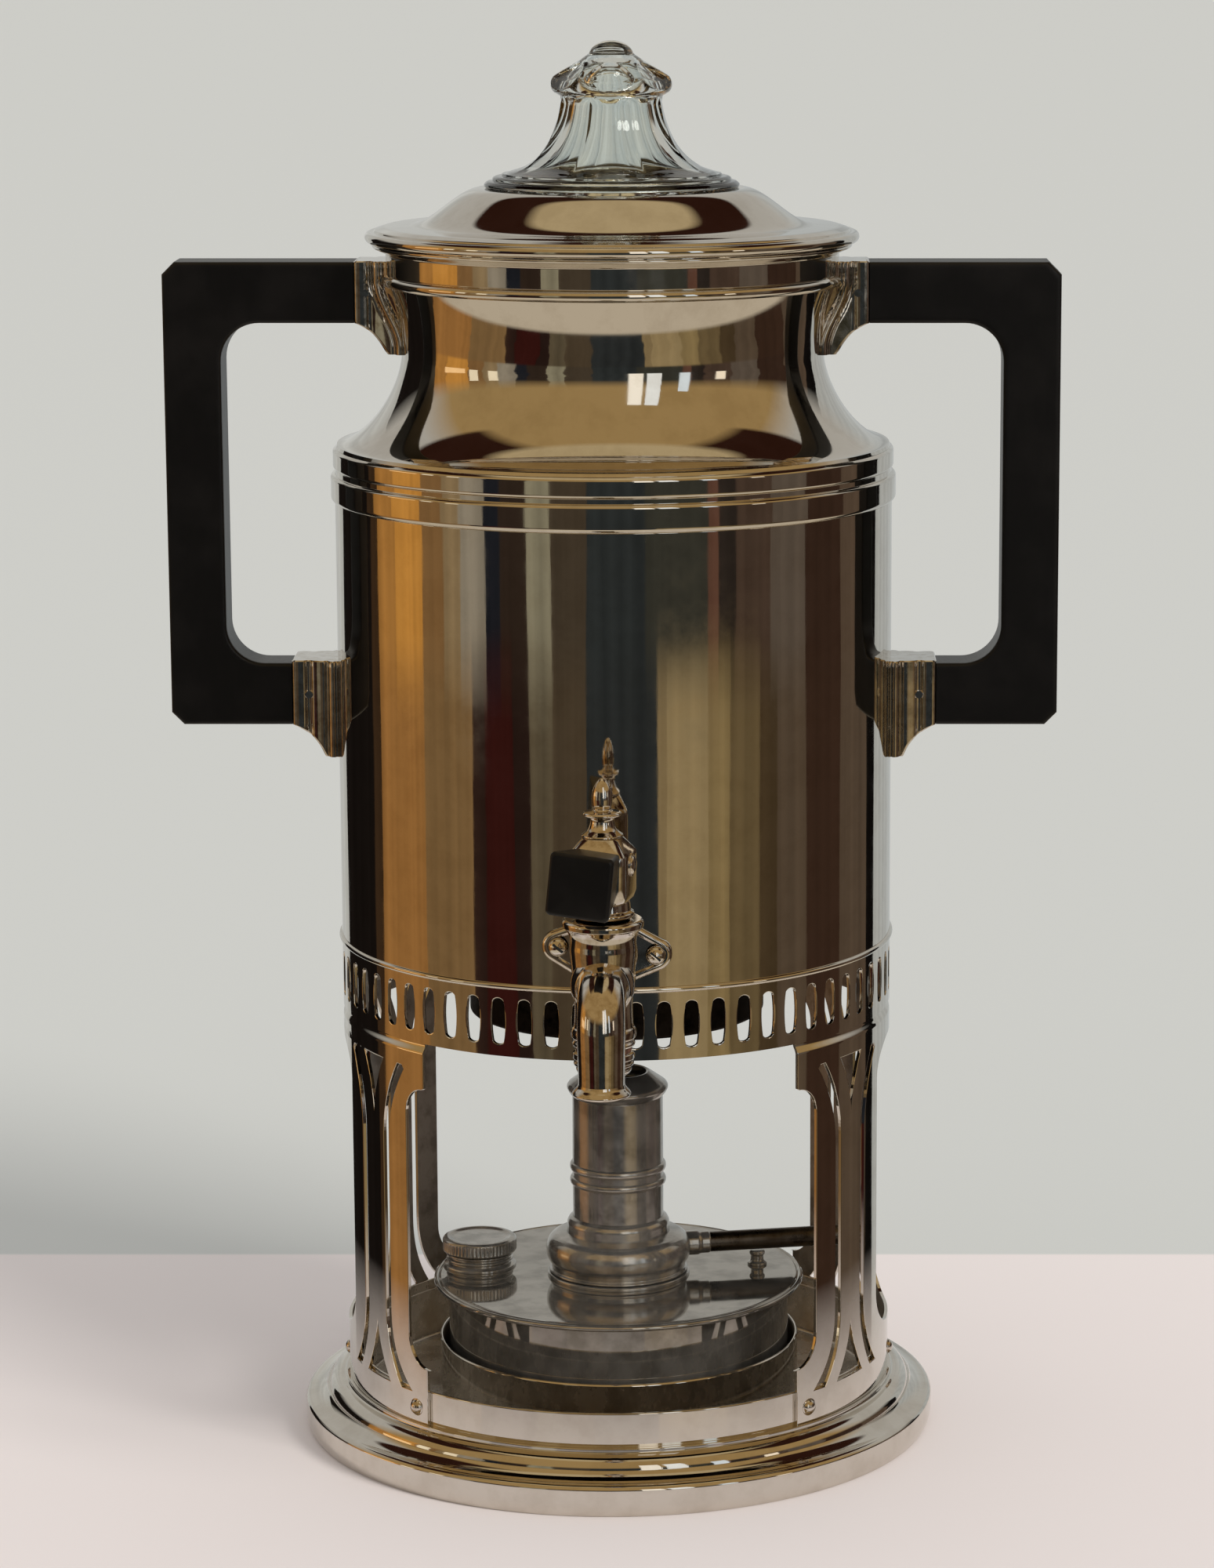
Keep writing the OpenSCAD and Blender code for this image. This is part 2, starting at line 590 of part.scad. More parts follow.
// The spout's path as a solid of radius r: out of the barrel, round the bend and down
module spout_path(r, down) {
    translate([0, 0, -spout_drop]) {
        translate([0, -spout_out + spout_bend, 0]) bar_y(r, 0, spout_out - spout_bend, 48);
        translate([0, -spout_out + spout_bend, -spout_bend]) rotate([90, 0, -90])
            rotate_extrude(angle = 90, $fn = 64) translate([spout_bend, 0]) circle(r = r, $fn = 48);
        translate([0, -spout_out, -spout_bend - down]) cylinder(r = r, h = down, $fn = 48);
    }
}
module tap_body() {
    lip = spout_r + 1.5;
    lip_z = -spout_drop - spout_bend - spout_len;
    color(silver) at_plug() difference() {
        union() {
            spun(concat([[0, -barrel_down], [barrel_r - 0.6, -barrel_down],
                [barrel_r - 0.2, -barrel_down + 1.2],
                [barrel_r, -barrel_down + 3], [barrel_r, 7.5]],
                arc([barrel_r + 2.6, 8.5], 2.6, 3.8, 180, 120, 4),
                [[barrel_r + 1.8, barrel_up - 1.4], [barrel_r + 1.8, barrel_up - 0.4],
                [barrel_r + 1.4, barrel_up], [0, barrel_up]]));
            spout_path(spout_r, spout_len);
            translate([0, -spout_out, 0]) spun([[0, lip_z], [lip - 0.5, lip_z], [lip, lip_z + 0.6],
                [lip - 0.5, lip_z + 1.3], [spout_r, lip_z + 2.2], [0, lip_z + 2.2]], 64);
            bar_y(shank_r, 0, tap_reach - body_r + 9, 48);
            translate([0, tap_reach - body_r - tap_plate_t - 2.2, 0]) bar_y(shank_r + 1.8, 0, 2.2, 48);
        }
        translate([0, 0, -barrel_down - cut]) cylinder(r1 = taper(-barrel_down - cut),
            r2 = taper(barrel_up + cut), h = barrel_down + barrel_up + 2 * cut, $fn = fine);
        spout_path(spout_bore, spout_len + 5);
        bar_y(port_r + 0.4, 0, tap_reach, 32);
    }
}
module shank_washer() {
    color([0.25, 0.22, 0.2]) difference() {
        intersection() {
            translate([0, 0, tap_z]) bar_y(shank_r + 1.8, -body_r - 4, -body_r + 3.4);
            translate([0, 0, tap_z - 20]) cylinder(r = body_r - wall - run_fit, h = 40, $fn = 128);
        }
        translate([0, 0, tap_z]) bar_y(shank_r, -body_r - 6, -body_r + 8, 48);
    }
}
module shank_nut() {
    color(silver) translate([0, 0, tap_z]) difference() {
        translate([0, -body_r + 3.4, 0]) rotate([-90, 0, 0]) cylinder(r = 10, h = 4, $fn = 6);
        bar_y(shank_r, -body_r - 1, -body_r + 9, 48);
    }
}
stem_r = 3.6;
stem_top = 35;
collar_low = barrel_up + air;
collar_top = 18.8;
plug_low = -barrel_down - air;
washer_t = 1;
tail_r = 3;
tail_low = plug_low - 7;
// Everything that turns with the plug, drawn in the plug's own place with the lever straight ahead
module turned() { at_plug() rotate([0, 0, -lever_yaw]) children(); }
module tap_plug() {
    slip = run_fit * 1.02;
    color(silver) turned() difference() {
        spun([[0, tail_low], [tail_r, tail_low], [tail_r, plug_low], [taper(plug_low) - slip, plug_low],
            [taper(collar_low) - slip, collar_low], [7, collar_low], [7.6, collar_low + 0.6],
            [7.6, collar_low + 1.4], [6.8, collar_low + 2.2], [6.6, collar_top], [stem_r, collar_top],
            [stem_r, stem_top], [0, stem_top]]);
        rotate([0, 0, 90]) bar_y(port_r, -20, 20);
    }
}
module plug_washer() {
    color([0.25, 0.22, 0.2]) turned() ring(tail_r, 6.8, plug_low - washer_t, plug_low, 48);
}
module tail_nut() {
    high = plug_low - washer_t;
    color(silver) turned() spun([[tail_r, tail_low], [5.6, tail_low], [6.6, tail_low + 0.8],
        [6.9, tail_low + 1.6], [6.3, tail_low + 2], [7.4, tail_low + 2.6], [7.4, tail_low + 3.2],
        [6.6, tail_low + 3.6], [7.6, tail_low + 4.2], [7.6, high - 0.4], [6.9, high], [tail_r, high]], 64);
}
hub_back = 6.8;
hub_front = 8;
hub_half = 7.4;
hub_r = 9.6;
hub_top = 34.6;
lever_roll = 6;
lever_mid = (collar_top + hub_top) / 2;
lever_len = 15.5;
module lever_socket() {
    color(silver) turned() difference() {
        intersection() {
            translate([-hub_half, -hub_front, collar_top])
                cube([2 * hub_half, hub_front + hub_back, hub_top - collar_top]);
            cylinder(r = hub_r, h = 60, $fn = 48);
        }
        cylinder(r = stem_r, h = 60, $fn = 32);
    }
}
// The block grows toward its end: a taper in plan and the same taper from the side
module lever_block() {
    back = 0.36 * block_w;
    front = block_w / 2;
    tip_y = -hub_front - lever_len;
    color(black) turned() translate([0, 0, lever_mid]) rotate([0, lever_roll, 0]) intersection() {
        translate([0, 0, -20]) linear_extrude(40)
            polygon([[-back, -hub_front], [-front, tip_y], [front, tip_y], [back, -hub_front]]);
        translate([-20, 0, 0]) rotate([90, 0, 90]) linear_extrude(40)
            polygon([[-hub_front, -back], [tip_y, -front], [tip_y, front], [-hub_front, back]]);
    }
}
module tap_finial() {
    z = hub_top;
    color(silver) turned() spun(concat([[0, stem_top], [stem_r, stem_top], [stem_r, z], [5.2, z],
        [3.4, z + 1.6], [2.9, z + 3.4], [3.1, z + 4.8], [4.6, z + 5.2], [4.7, z + 5.7], [4.2, z + 6],
        [2, z + 6.3], [2.1, z + 7.4]],
        arc([0, z + 10.2], 2.5, 4.2, -35, 90, 8)), 48);
}

// ---- Pump and basket inside ----
well_floor = band_top - well_depth + wall;
foot_z = well_floor + air;
tube_r = 4;
tube_low = 15;
seat_up = 1.9;
valve_r = 7;
basket_r = rim_r - 13.6;
basket_z = body_top - 25;
basket_h = 42;
module pump_foot() {
    r = well_r - 4.5;
    color(dull) difference() {
        spun([[valve_r - 2, foot_z], [r, foot_z], [r, foot_z + 1.5], [r - 4, foot_z + 6],
            [tube_r + 2, foot_z + 13],
            [tube_r + 2, foot_z + tube_low + 3], [tube_r, foot_z + tube_low + 3], [tube_r, foot_z + 12.6],
            [r - 5, foot_z + 5.2], [r - 1, foot_z + 0.9], [valve_r + 1, foot_z + 0.9],
            [valve_r, foot_z + seat_up], [valve_r - 2, foot_z + seat_up]]);
        for (a = [0:60:300]) rotate([0, 0, a]) translate([0, r + 3, foot_z + 3.4]) bar_y(1.2, -10, 0, 24);
    }
}
module pump_valve() {
    color(silver) translate([0, 0, foot_z + seat_up + air]) cylinder(r = valve_r, h = 0.9, $fn = 48);
}
module pump_tube() {
    top = neck_top - 2;
    stop = basket_z;
    low = foot_z + tube_low;
    color(dull) spun([[tube_r - 0.8, low], [tube_r, low], [tube_r, stop - 2], [tube_r + 1.6, stop - 2],
        [tube_r + 1.6, stop], [tube_r, stop], [tube_r, top], [tube_r - 0.8, top]], 48);
}
module coffee_basket() {
    sleeve = tube_r + 1;
    high = basket_z + basket_h;
    color(dull) difference() {
        spun([[tube_r, basket_z], [basket_r - 1.5, basket_z], [basket_r, basket_z + 1.5], [basket_r, high],
            [basket_r - 0.8, high], [basket_r - 0.8, basket_z + 1.8], [basket_r - 1.8, basket_z + 0.8],
            [sleeve, basket_z + 0.8], [sleeve, high], [tube_r, high]]);
        for (r = [14, 24, 34], a = [0:36:324]) rotate([0, 0, a + r]) translate([r, 0, basket_z - 1])
            cylinder(r = 1.2, h = 4, $fn = 16);
    }
}
module basket_cover() {
    z = basket_z + basket_h;
    color(dull) difference() {
        spun([[tube_r, z], [basket_r + 0.8, z], [basket_r + 0.8, z + 2.4], [basket_r - 0.2, z + 3],
            [basket_r - 1, z + 1.2], [tube_r, z + 1.2]]);
        for (r = [12, 22, 32], a = [0:36:324]) rotate([0, 0, a + r]) translate([r, 0, z - 1])
            cylinder(r = 1.2, h = 4, $fn = 16);
    }
}

// ---- Spirit burner ----
drum_z = tray_z + air;
plate_z = tray_z + plate_up;
drum_sheet = 0.8;
filler_at = [-37.8, 7];
neck_r = 9;
chimney_top = plate_z + chimney_up;
sleeve_top = plate_z + 1;
sleeve_r = chimney_r + 1.6;
wick_r = 7;
module burner_drum() {
    high = plate_z - drum_sheet;
    color(dull) spun([[0, drum_z], [drum_r - 1.5, drum_z], [drum_r, drum_z + 1.5], [drum_r, high],
        [drum_r - drum_sheet, high], [drum_r - drum_sheet, drum_z + 1.8],
        [drum_r - 1.8, drum_z + drum_sheet], [0, drum_z + drum_sheet]]);
}
module burner_plate() {
    roll = 0.75;
    color(dull) difference() {
        spun(concat([[0, plate_z - drum_sheet], [plate_r - 2 * roll, plate_z - drum_sheet]],
            arc([plate_r - roll, plate_z - roll], roll, roll, -150, 150, 10),
            [[plate_r - 2.4, plate_z], [0, plate_z]]));
        translate([filler_at[0], filler_at[1], plate_z - 5]) cylinder(r = neck_r - 2, h = 10, $fn = 48);
        translate([0, 0, plate_z - 5]) cylinder(r = wick_r + 1, h = 10, $fn = 48);
    }
}
module at_filler() { translate([filler_at[0], filler_at[1], plate_z]) children(); }
neck_up = 5.9;
gasket_t = 0.8;
module filler_neck() {
    root = neck_r - 0.7;
    color(dull) at_filler() spun(concat(
        [[neck_r - 2, 0], [neck_r + 0.8, 0], [neck_r + 0.8, 0.8], [root, 1.2]],
        [for (i = [0:2]) each let (z = 1.6 + 1.4 * i)
            [[root, z], [neck_r, z + 0.3], [neck_r, z + 0.8], [root, z + 1.1]]],
        [[root, neck_up], [neck_r - 2, neck_up]]), 64);
}
module filler_gasket() {
    color([0.45, 0.33, 0.2]) at_filler() translate([0, 0, neck_up + air])
        cylinder(r = neck_r - 0.6, h = gasket_t, $fn = 48);
}
module filler_cap() {
    low = 4.3;
    high = 8.1;
    roof = neck_up + gasket_t + 2 * air;
    bore = neck_r + run_fit;
    color(dull) at_filler() difference() {
        spun([[0, roof], [bore, roof], [bore, low], [cap_r - 0.2, low], [cap_r, low + 0.3],
            [cap_r, high - 0.7], [cap_r - 0.6, high - 0.1], [cap_r - 2, high], [cap_r - 2.6, high - 0.3],
            [0, high - 0.3]], 64);
        for (a = [0:10:350]) rotate([0, 0, a]) translate([cap_r + 0.1, 0, low + 0.5])
            cylinder(r = 0.35, h = 2.4, $fn = 4);
    }
}
module burner_sleeve() {
    inner = chimney_r - drum_sheet;
    bore = chimney_r + run_fit;
    color(dull) spun([[inner, plate_z], [ring_r - 0.3, plate_z], [ring_r - 0.3, sleeve_top - 0.3],
        [ring_r - 0.6, sleeve_top],
        [sleeve_r, sleeve_top], [sleeve_r, plate_z + 14.7], [chimney_r + 1, plate_z + 15.7],
        [bore, plate_z + 16.3], [bore, plate_z + 9], [inner, plate_z + 9]], 64);
}
module chimney() {
    low = plate_z + 9;
    bead = 0.75;
    mid = plate_z + 0.53 * chimney_up;
    color(dull) spun(concat([[chimney_r, low]], arc([chimney_r, mid], bead, 1, -80, 80, 5),
        arc([chimney_r, mid + 3.8], bead, 1.1, -80, 80, 5), [[chimney_r, chimney_top],
        [chimney_r - drum_sheet, chimney_top], [chimney_r - drum_sheet, low]]), 64);
}
module chimney_cap() {
    wide = chimney_r + 1.5;
    z = chimney_top;
    color(dull) spun([[chimney_r - drum_sheet, z], [chimney_r, z], [wide - 0.6, z + 1.4], [wide, z + 2.4],
        [wide - 0.4, z + 3.2], [wick_r + 1.8, z + 6.4], [wick_r + 1.2, z + 6.6],
        [wick_r + 0.6, z + 6.4], [wide - 1.6, z + 3],
        [wide - 1.8, z + 2], [chimney_r - 1.4, z + 0.9]], 64);
}
module wick_tube() {
    color(dull) ring(wick_r, wick_r + 1, plate_z - 14, chimney_top - 2, 48);
}
module wick() {
    low = drum_z + 3;
    color([0.85, 0.82, 0.74]) translate([0, 0, low])
        cylinder(r = wick_r, h = chimney_top + 1 - low, $fn = 48);
}
ring_low = sleeve_top + air;
ring_up = 10;
ring_r = sleeve_r + 5.7;
rod_z = 7;
rod_r = 2.7;
rod_end = body_r - 4.5;
rod_start = ring_r + 0.5;
socket_out = 5;
module at_lever() { rotate([0, 0, lever_back]) translate([0, 0, plate_z + rod_z]) children(); }
module regulator_ring() {
    bore = sleeve_r + run_fit;
    low = ring_low;
    high = low + ring_up;
    color(dull) difference() {
        union() {
            spun(concat([[bore, low], [ring_r - 0.9, low], [ring_r - 0.9, low + 0.4],
                [ring_r - 1.5, low + 1], [ring_r - 1.3, low + 2.8]],
                arc([ring_r - 2.6, low + 6.6], 2.6, 3.2, -40, 75, 8),
                [[ring_r - 2.6, high - 0.1], [bore + 1.5, high + 0.2], [bore, high + 0.5]]), 64);
            at_lever() bar_x(rod_r + 0.6, ring_r - 4, rod_start + socket_out);
        }
        at_lever() bar_x(rod_r, rod_start, 40);
    }
}
module lever_rod() {
    tip = 1.5;
    color(dull) at_lever() {
        bar_x(rod_r, rod_start, rod_end - tip);
        translate([rod_end - tip, 0, 0]) rotate([0, 90, 0])
            cylinder(r1 = rod_r, r2 = rod_r - 0.9, h = tip, $fn = 32);
    }
}
peg_out = 38;
module rest_peg() {
    up = rod_z - rod_r - air;
    color(dull) rotate([0, 0, lever_back]) translate([peg_out, 0, plate_z])
        spun([[0, 0], [2.6, 0], [2.6, 0.6], [1.7, 1.2], [1.7, up - 1.4], [2.1, up - 1], [2.1, up - 0.2],
            [1.8, up], [0, up]], 32);
}

base_ring();
tray_floor();
burner_holder();
side_panel_left();
side_panel_right();
panel_rivets();
vent_band();
band_bead();
vessel_shell();
heating_well();
shoulder_rings();
neck_shell();
neck_rim();
socket_top_left();
socket_top_right();
socket_bottom_left();
socket_bottom_right();
handle_left();
handle_right();
handle_pins();
lid_shell();
lid_skirt();
glass_knob();
glass_ring();
tap_flange();
tap_screws();
tap_body();
shank_washer();
shank_nut();
tap_plug();
plug_washer();
tail_nut();
lever_socket();
lever_block();
tap_finial();
pump_foot();
pump_valve();
pump_tube();
coffee_basket();
basket_cover();
burner_drum();
burner_plate();
filler_neck();
filler_gasket();
filler_cap();
burner_sleeve();
chimney();
chimney_cap();
wick_tube();
wick();
regulator_ring();
lever_rod();
rest_peg();
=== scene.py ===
import json
import math

import bmesh
import bpy
import numpy as np
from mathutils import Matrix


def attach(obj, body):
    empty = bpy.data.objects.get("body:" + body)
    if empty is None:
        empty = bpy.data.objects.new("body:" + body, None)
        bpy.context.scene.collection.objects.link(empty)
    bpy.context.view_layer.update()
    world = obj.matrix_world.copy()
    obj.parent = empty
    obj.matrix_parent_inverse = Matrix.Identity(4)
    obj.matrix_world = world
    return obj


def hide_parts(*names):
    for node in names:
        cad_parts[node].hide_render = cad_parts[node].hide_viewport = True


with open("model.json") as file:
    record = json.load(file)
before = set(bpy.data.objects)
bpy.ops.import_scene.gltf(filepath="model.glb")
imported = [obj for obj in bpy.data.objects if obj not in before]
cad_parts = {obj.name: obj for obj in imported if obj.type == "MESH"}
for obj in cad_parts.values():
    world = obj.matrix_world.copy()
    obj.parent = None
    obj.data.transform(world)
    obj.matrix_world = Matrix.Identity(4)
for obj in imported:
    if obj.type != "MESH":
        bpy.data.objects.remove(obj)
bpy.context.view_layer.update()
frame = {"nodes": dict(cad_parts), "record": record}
mm = 0.001

# Camera
camera = {"place": (39.4, -1192.5, 400.6), "pitch": 10.80, "lens": 105.6, "shift": -0.1007}
cameraData = bpy.data.cameras.new("camera")
cameraData.lens = camera["lens"]
cameraData.shift_x = camera["shift"]
cameraObject = bpy.data.objects.new("camera", cameraData)
cameraObject.location = [v * mm for v in camera["place"]]
cameraObject.rotation_euler = (math.radians(90 - camera["pitch"]), 0, 0)
scene = bpy.context.scene
scene.collection.objects.link(cameraObject)
scene.camera = cameraObject
print("camera set")


# Tools for colour, nodes and objects
# An sRGB hex colour as linear red, green, blue and alpha
def hexColour(code):
    parts = [int(code[i:i + 2], 16) / 255 for i in (0, 2, 4)]
    return (*(p / 12.92 if p < 0.04045 else ((p + 0.055) / 1.055) ** 2.4 for p in parts), 1)


# Adds a node and gives its outputs. The settings name its sockets or properties: another node's output is
# linked to the socket, any other value is set, and stops fill a colour ramp
def addNode(tree, kind, settings=None, stops=None):
    node = tree.nodes.new("ShaderNode" + kind)
    for key, value in (settings or {}).items():
        if not isinstance(key, int) and key not in node.inputs:
            setattr(node, key, value)
        elif isinstance(value, bpy.types.NodeSocket):
            tree.links.new(value, node.inputs[key])
        else:
            node.inputs[key].default_value = value
    if stops:
        points = node.color_ramp.elements
        while len(points) < len(stops):
            points.new(0.5)
        for point, (place, colour) in zip(points, stops):
            point.position = place
            point.color = colour
    return node.outputs


# A material: its recipe gets the tree, the Object coordinates and a look, and gives the shader's settings
def newMaterial(name, recipe, *look):
    material = bpy.data.materials.new(name)
    material.use_nodes = True
    tree = material.node_tree
    tree.nodes.clear()
    shader = addNode(tree, "BsdfPrincipled", recipe(tree, addNode(tree, "TexCoord")["Object"], *look))
    addNode(tree, "OutputMaterial", {"Surface": shader[0]})
    return material


def addObject(name, data):
    item = bpy.data.objects.new(name, data)
    scene.collection.objects.link(item)
    return item


# Metals: blotches of two tints and two grades of gloss, under hairlines and slow waves
def plated(tree, place, look):
    marks = addNode(tree, "TexNoise", {"Vector": place, "Scale": 1 / (look["markSize"] * mm), "Detail": 5,
        "Roughness": 0.62})[0]
    tint = addNode(tree, "ValToRGB", {"Fac": marks},
        [(0.36, hexColour(look["stain"])), (0.56, hexColour(look["tint"]))])
    gloss = addNode(tree, "MapRange", {"Value": marks, "From Min": 0.35, "From Max": 0.72,
        "To Min": look["smooth"], "To Max": look["dull"]})
    # hairlines from wiping, drawn coarser than they are so that they show
    stretch = addNode(tree, "Mapping", {"Vector": place, "Rotation": (0.5, 0.3, 0.2), "Scale": (1, 1, 0.04)})
    hairs = addNode(tree, "TexNoise", {"Vector": stretch[0], "Scale": 1 / (look["hairSpacing"] * mm),
        "Detail": 2})
    bump = addNode(tree, "Bump", {"Height": hairs[0], "Strength": look["hairDepth"], "Distance": 0.1 * mm})
    # hand buffing leaves the sheet very slightly uneven, which makes mirrored edges wander
    waves = addNode(tree, "TexNoise", {"Vector": place, "Scale": 1 / (look["waveSize"] * mm), "Detail": 0})
    bump = addNode(tree, "Bump", {"Height": waves[0], "Normal": bump[0], "Strength": 1,
        "Distance": look["waveHeight"] * mm})
    return {"Metallic": look["metal"], "Base Color": tint[0], "Roughness": gloss[0], "Normal": bump[0]}


# A metal's look, over what most of them share: tints, least and most roughness, and sizes in mm
def newMetal(name, **look):
    usual = {"metal": 1, "hairSpacing": 0.4, "hairDepth": 0.05, "waveSize": 14, "waveHeight": 0.05}
    return newMaterial(name, plated, {**usual, **look})


# Nickel plate on brass, spun and buffed: mirror-like and warm, with soft wipe marks and hairlines
nickel = newMetal("polishedNickelPlate", tint="D6D0C6", stain="CDC6BB", smooth=0.025, dull=0.075, markSize=9,
    hairSpacing=0.35, hairDepth=0.012, waveSize=26)
# Cast and buffed fittings keep a little orange peel, so their highlights break up
castNickel = newMetal("castNickelPlate", tint="D6CFC6", stain="BDB2A3", smooth=0.05, dull=0.12, markSize=2.6,
    hairSpacing=0.6, hairDepth=0.015, waveSize=6, waveHeight=0.03)
# Heat and spirit have dulled the burner's plate to pewter grey
burnerNickel = newMetal("heatDulledNickelPlate", metal=0.8, tint="B8B3AB", stain="938E86", smooth=0.13,
    dull=0.27, markSize=7, hairDepth=0.02, waveHeight=0.04)
# The spirit tank has kept more of its shine
tankNickel = newMetal("spiritTankPlate", metal=0.85, tint="ACA69C", stain="8F897F", smooth=0.03, dull=0.09,
    markSize=8, hairDepth=0.015, waveSize=18)
# Inside, the sheet was never buffed: a dull oxide lies on it
unbuffed = newMetal("unbuffedNickelPlate", metal=0.6, tint="978D80", stain="7A7064", smooth=0.3, dull=0.5,
    markSize=6)
# The tray is wiped now and then, and stays lighter
wipedNickel = newMetal("wipedTrayPlate", metal=0.7, tint="C6BEB2", stain="A39A8C", smooth=0.2, dull=0.36,
    markSize=8, hairSpacing=0.5, hairDepth=0.04, waveSize=20)
# The flame has blackened the vessel's underside
sooted = newMetal("sootedNickelPlate", tint="2A2521", stain="110F0D", smooth=0.4, dull=0.65, markSize=4,
    hairSpacing=0.6)
# The lever's steel is blued brown by heat, and the pump set is plain spun aluminium, grey from use
rodSteel = newMetal("heatBluedSteelRod", tint="6B6258", stain="4A423A", smooth=0.24, dull=0.4, markSize=6,
    hairSpacing=0.5, waveSize=20, waveHeight=0.02)
pumpAluminium = newMetal("spunAluminium", tint="B9BABA", stain="9A9A98", smooth=0.28, dull=0.42, markSize=7,
    hairDepth=0.08, waveSize=20, waveHeight=0.02)

# Ebonised hardwood: stained black and waxed, a close grain that only shows in the gloss
woodLook = {"colour": "0A0909", "worn": "131110", "grainWidth": 0.7, "wearSize": 14,
    "roughness": (0.28, 0.42)}


def ebonisedWood(tree, place):
    stretch = addNode(tree, "Mapping", {"Vector": place, "Scale": (1, 1, 0.09)})
    grain = addNode(tree, "TexNoise", {"Vector": stretch[0], "Scale": 1 / (woodLook["grainWidth"] * mm),
        "Detail": 6, "Roughness": 0.65})[0]
    wear = addNode(tree, "TexNoise", {"Vector": place, "Scale": 1 / (woodLook["wearSize"] * mm), "Detail": 4})
    colour = addNode(tree, "ValToRGB", {"Fac": wear[0]},
        [(0.45, hexColour(woodLook["colour"])), (0.75, hexColour(woodLook["worn"]))])
    low, high = woodLook["roughness"]
    rough = addNode(tree, "MapRange", {"Value": grain, "To Min": low, "To Max": high})
    bump = addNode(tree, "Bump", {"Height": grain, "Strength": 0.15, "Distance": 0.1 * mm})
    return {"Specular IOR Level": 0.28, "Base Color": colour[0], "Roughness": rough[0], "Normal": bump[0]}


# Pressed soda glass: clear, with the faint ripple of the mould
glassLook = {"tint": "F4F8F5", "rippleSize": 5}


def pressedGlass(tree, place):
    ripple = addNode(tree, "TexNoise", {"Vector": place, "Scale": 1 / (glassLook["rippleSize"] * mm),
        "Detail": 1})
    bump = addNode(tree, "Bump", {"Height": ripple[0], "Strength": 0.2, "Distance": 0.25 * mm})
    return {"Base Color": hexColour(glassLook["tint"]), "Transmission Weight": 1, "IOR": 1.51,
        "Roughness": 0, "Normal": bump[0]}


# Woven cotton wick, singed brown at the tip; the weave is drawn at its real thread spacing
wickLook = {"clean": "D8CFB8", "singed": "3A2C20", "thread": 0.9, "singe": (84, 89)}


def wovenCotton(tree, place):
    weave = addNode(tree, "TexWave", {"Vector": place, "Scale": 0.05 / (wickLook["thread"] * mm),
        "Distortion": 1.5, "bands_direction": "DIAGONAL"})
    height = addNode(tree, "SeparateXYZ", {"Vector": place})
    low, high = wickLook["singe"]
    singe = addNode(tree, "MapRange", {"Value": height["Z"], "From Min": low * mm, "From Max": high * mm})
    colour = addNode(tree, "Mix", {"data_type": "RGBA", 0: singe[0], 6: hexColour(wickLook["clean"]),
        7: hexColour(wickLook["singed"])})
    bump = addNode(tree, "Bump", {"Height": weave[0], "Strength": 0.6, "Distance": 0.3 * mm})
    return {"Roughness": 0.95, "Base Color": colour[2], "Normal": bump[0]}


# Vulcanised fibre washers: hard, matt and reddish brown with a felted fleck
def vulcanisedFibre(tree, place):
    fleck = addNode(tree, "TexNoise", {"Vector": place, "Scale": 1 / (0.8 * mm), "Detail": 5})
    colour = addNode(tree, "ValToRGB", {"Fac": fleck[0]},
        [(0.4, hexColour("4A2F22")), (0.65, hexColour("6A4632"))])
    return {"Roughness": 0.8, "Base Color": colour[0]}


ebony = newMaterial("ebonisedHardwood", ebonisedWood)
clearGlass = newMaterial("pressedSodaGlass", pressedGlass)
wickCotton = newMaterial("wovenCottonWick", wovenCotton)
fibre = newMaterial("vulcanisedFibre", vulcanisedFibre)
# The finishes of each material slot, the usual one first
slots = {"body_plate": [nickel, castNickel, unbuffed, sooted, wipedNickel], "clear_glass": [clearGlass],
    "burner_metal": [burnerNickel, tankNickel, rodSteel], "pump_metal": [pumpAluminium],
    "black_wood": [ebony], "wick_cotton": [wickCotton], "washer_fibre": [fibre]}
print("materials made")


# Tools for surfaces
# Corner numbers of the four-sided faces between neighbouring points of a grid
def gridFaces(rows, columns, closeRows=False, closeColumns=False):
    down, across = np.meshgrid(np.arange(rows - (not closeRows)), np.arange(columns - (not closeColumns)),
        indexing="ij")
    nextDown, nextAcross = (down + 1) % rows, (across + 1) % columns
    corners = [down * columns + across, down * columns + nextAcross, nextDown * columns + nextAcross,
        nextDown * columns + across]
    return np.stack(corners, -1).reshape(-1, 4)


# A grid of points with its faces; the grid is an array of rows, columns and x, y, z
def surface(grid, closeRows=False, closeColumns=False):
    rows, columns = grid.shape[:2]
    return grid.reshape(-1, 3), gridFaces(rows, columns, closeRows, closeColumns)


def joined(parts):
    points, faces, count = [], [], 0
    for partPoints, partFaces in parts:
        points.append(partPoints)
        faces.append(partFaces + count)
        count += len(partPoints)
    return np.concatenate(points), np.concatenate(faces)


# One property of all vertices, faces or corners as an array
def valuesOf(items, key, width=1, kind=float):
    values = np.empty(len(items) * width, kind)
    items.foreach_get(key, values)
    return values.reshape(-1, width) if width > 1 else values


# Gives some faces another finish: those that look towards the urn's axis, or with under those that look down
def finishFaces(mesh, finish, under=False):
    normals = valuesOf(mesh.polygons, "normal", 3)
    centres = valuesOf(mesh.polygons, "center", 3)[:, :2]
    outward = (normals[:, :2] * centres).sum(1) / (np.linalg.norm(centres, axis=1) + 1e-9)
    mesh.materials.append(finish)
    mesh.polygons.foreach_set("material_index",
        ((normals[:, 2] if under else outward) < -0.4).astype(np.int32))


def placePiece(item, body, node):
    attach(item, body)
    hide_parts(node)


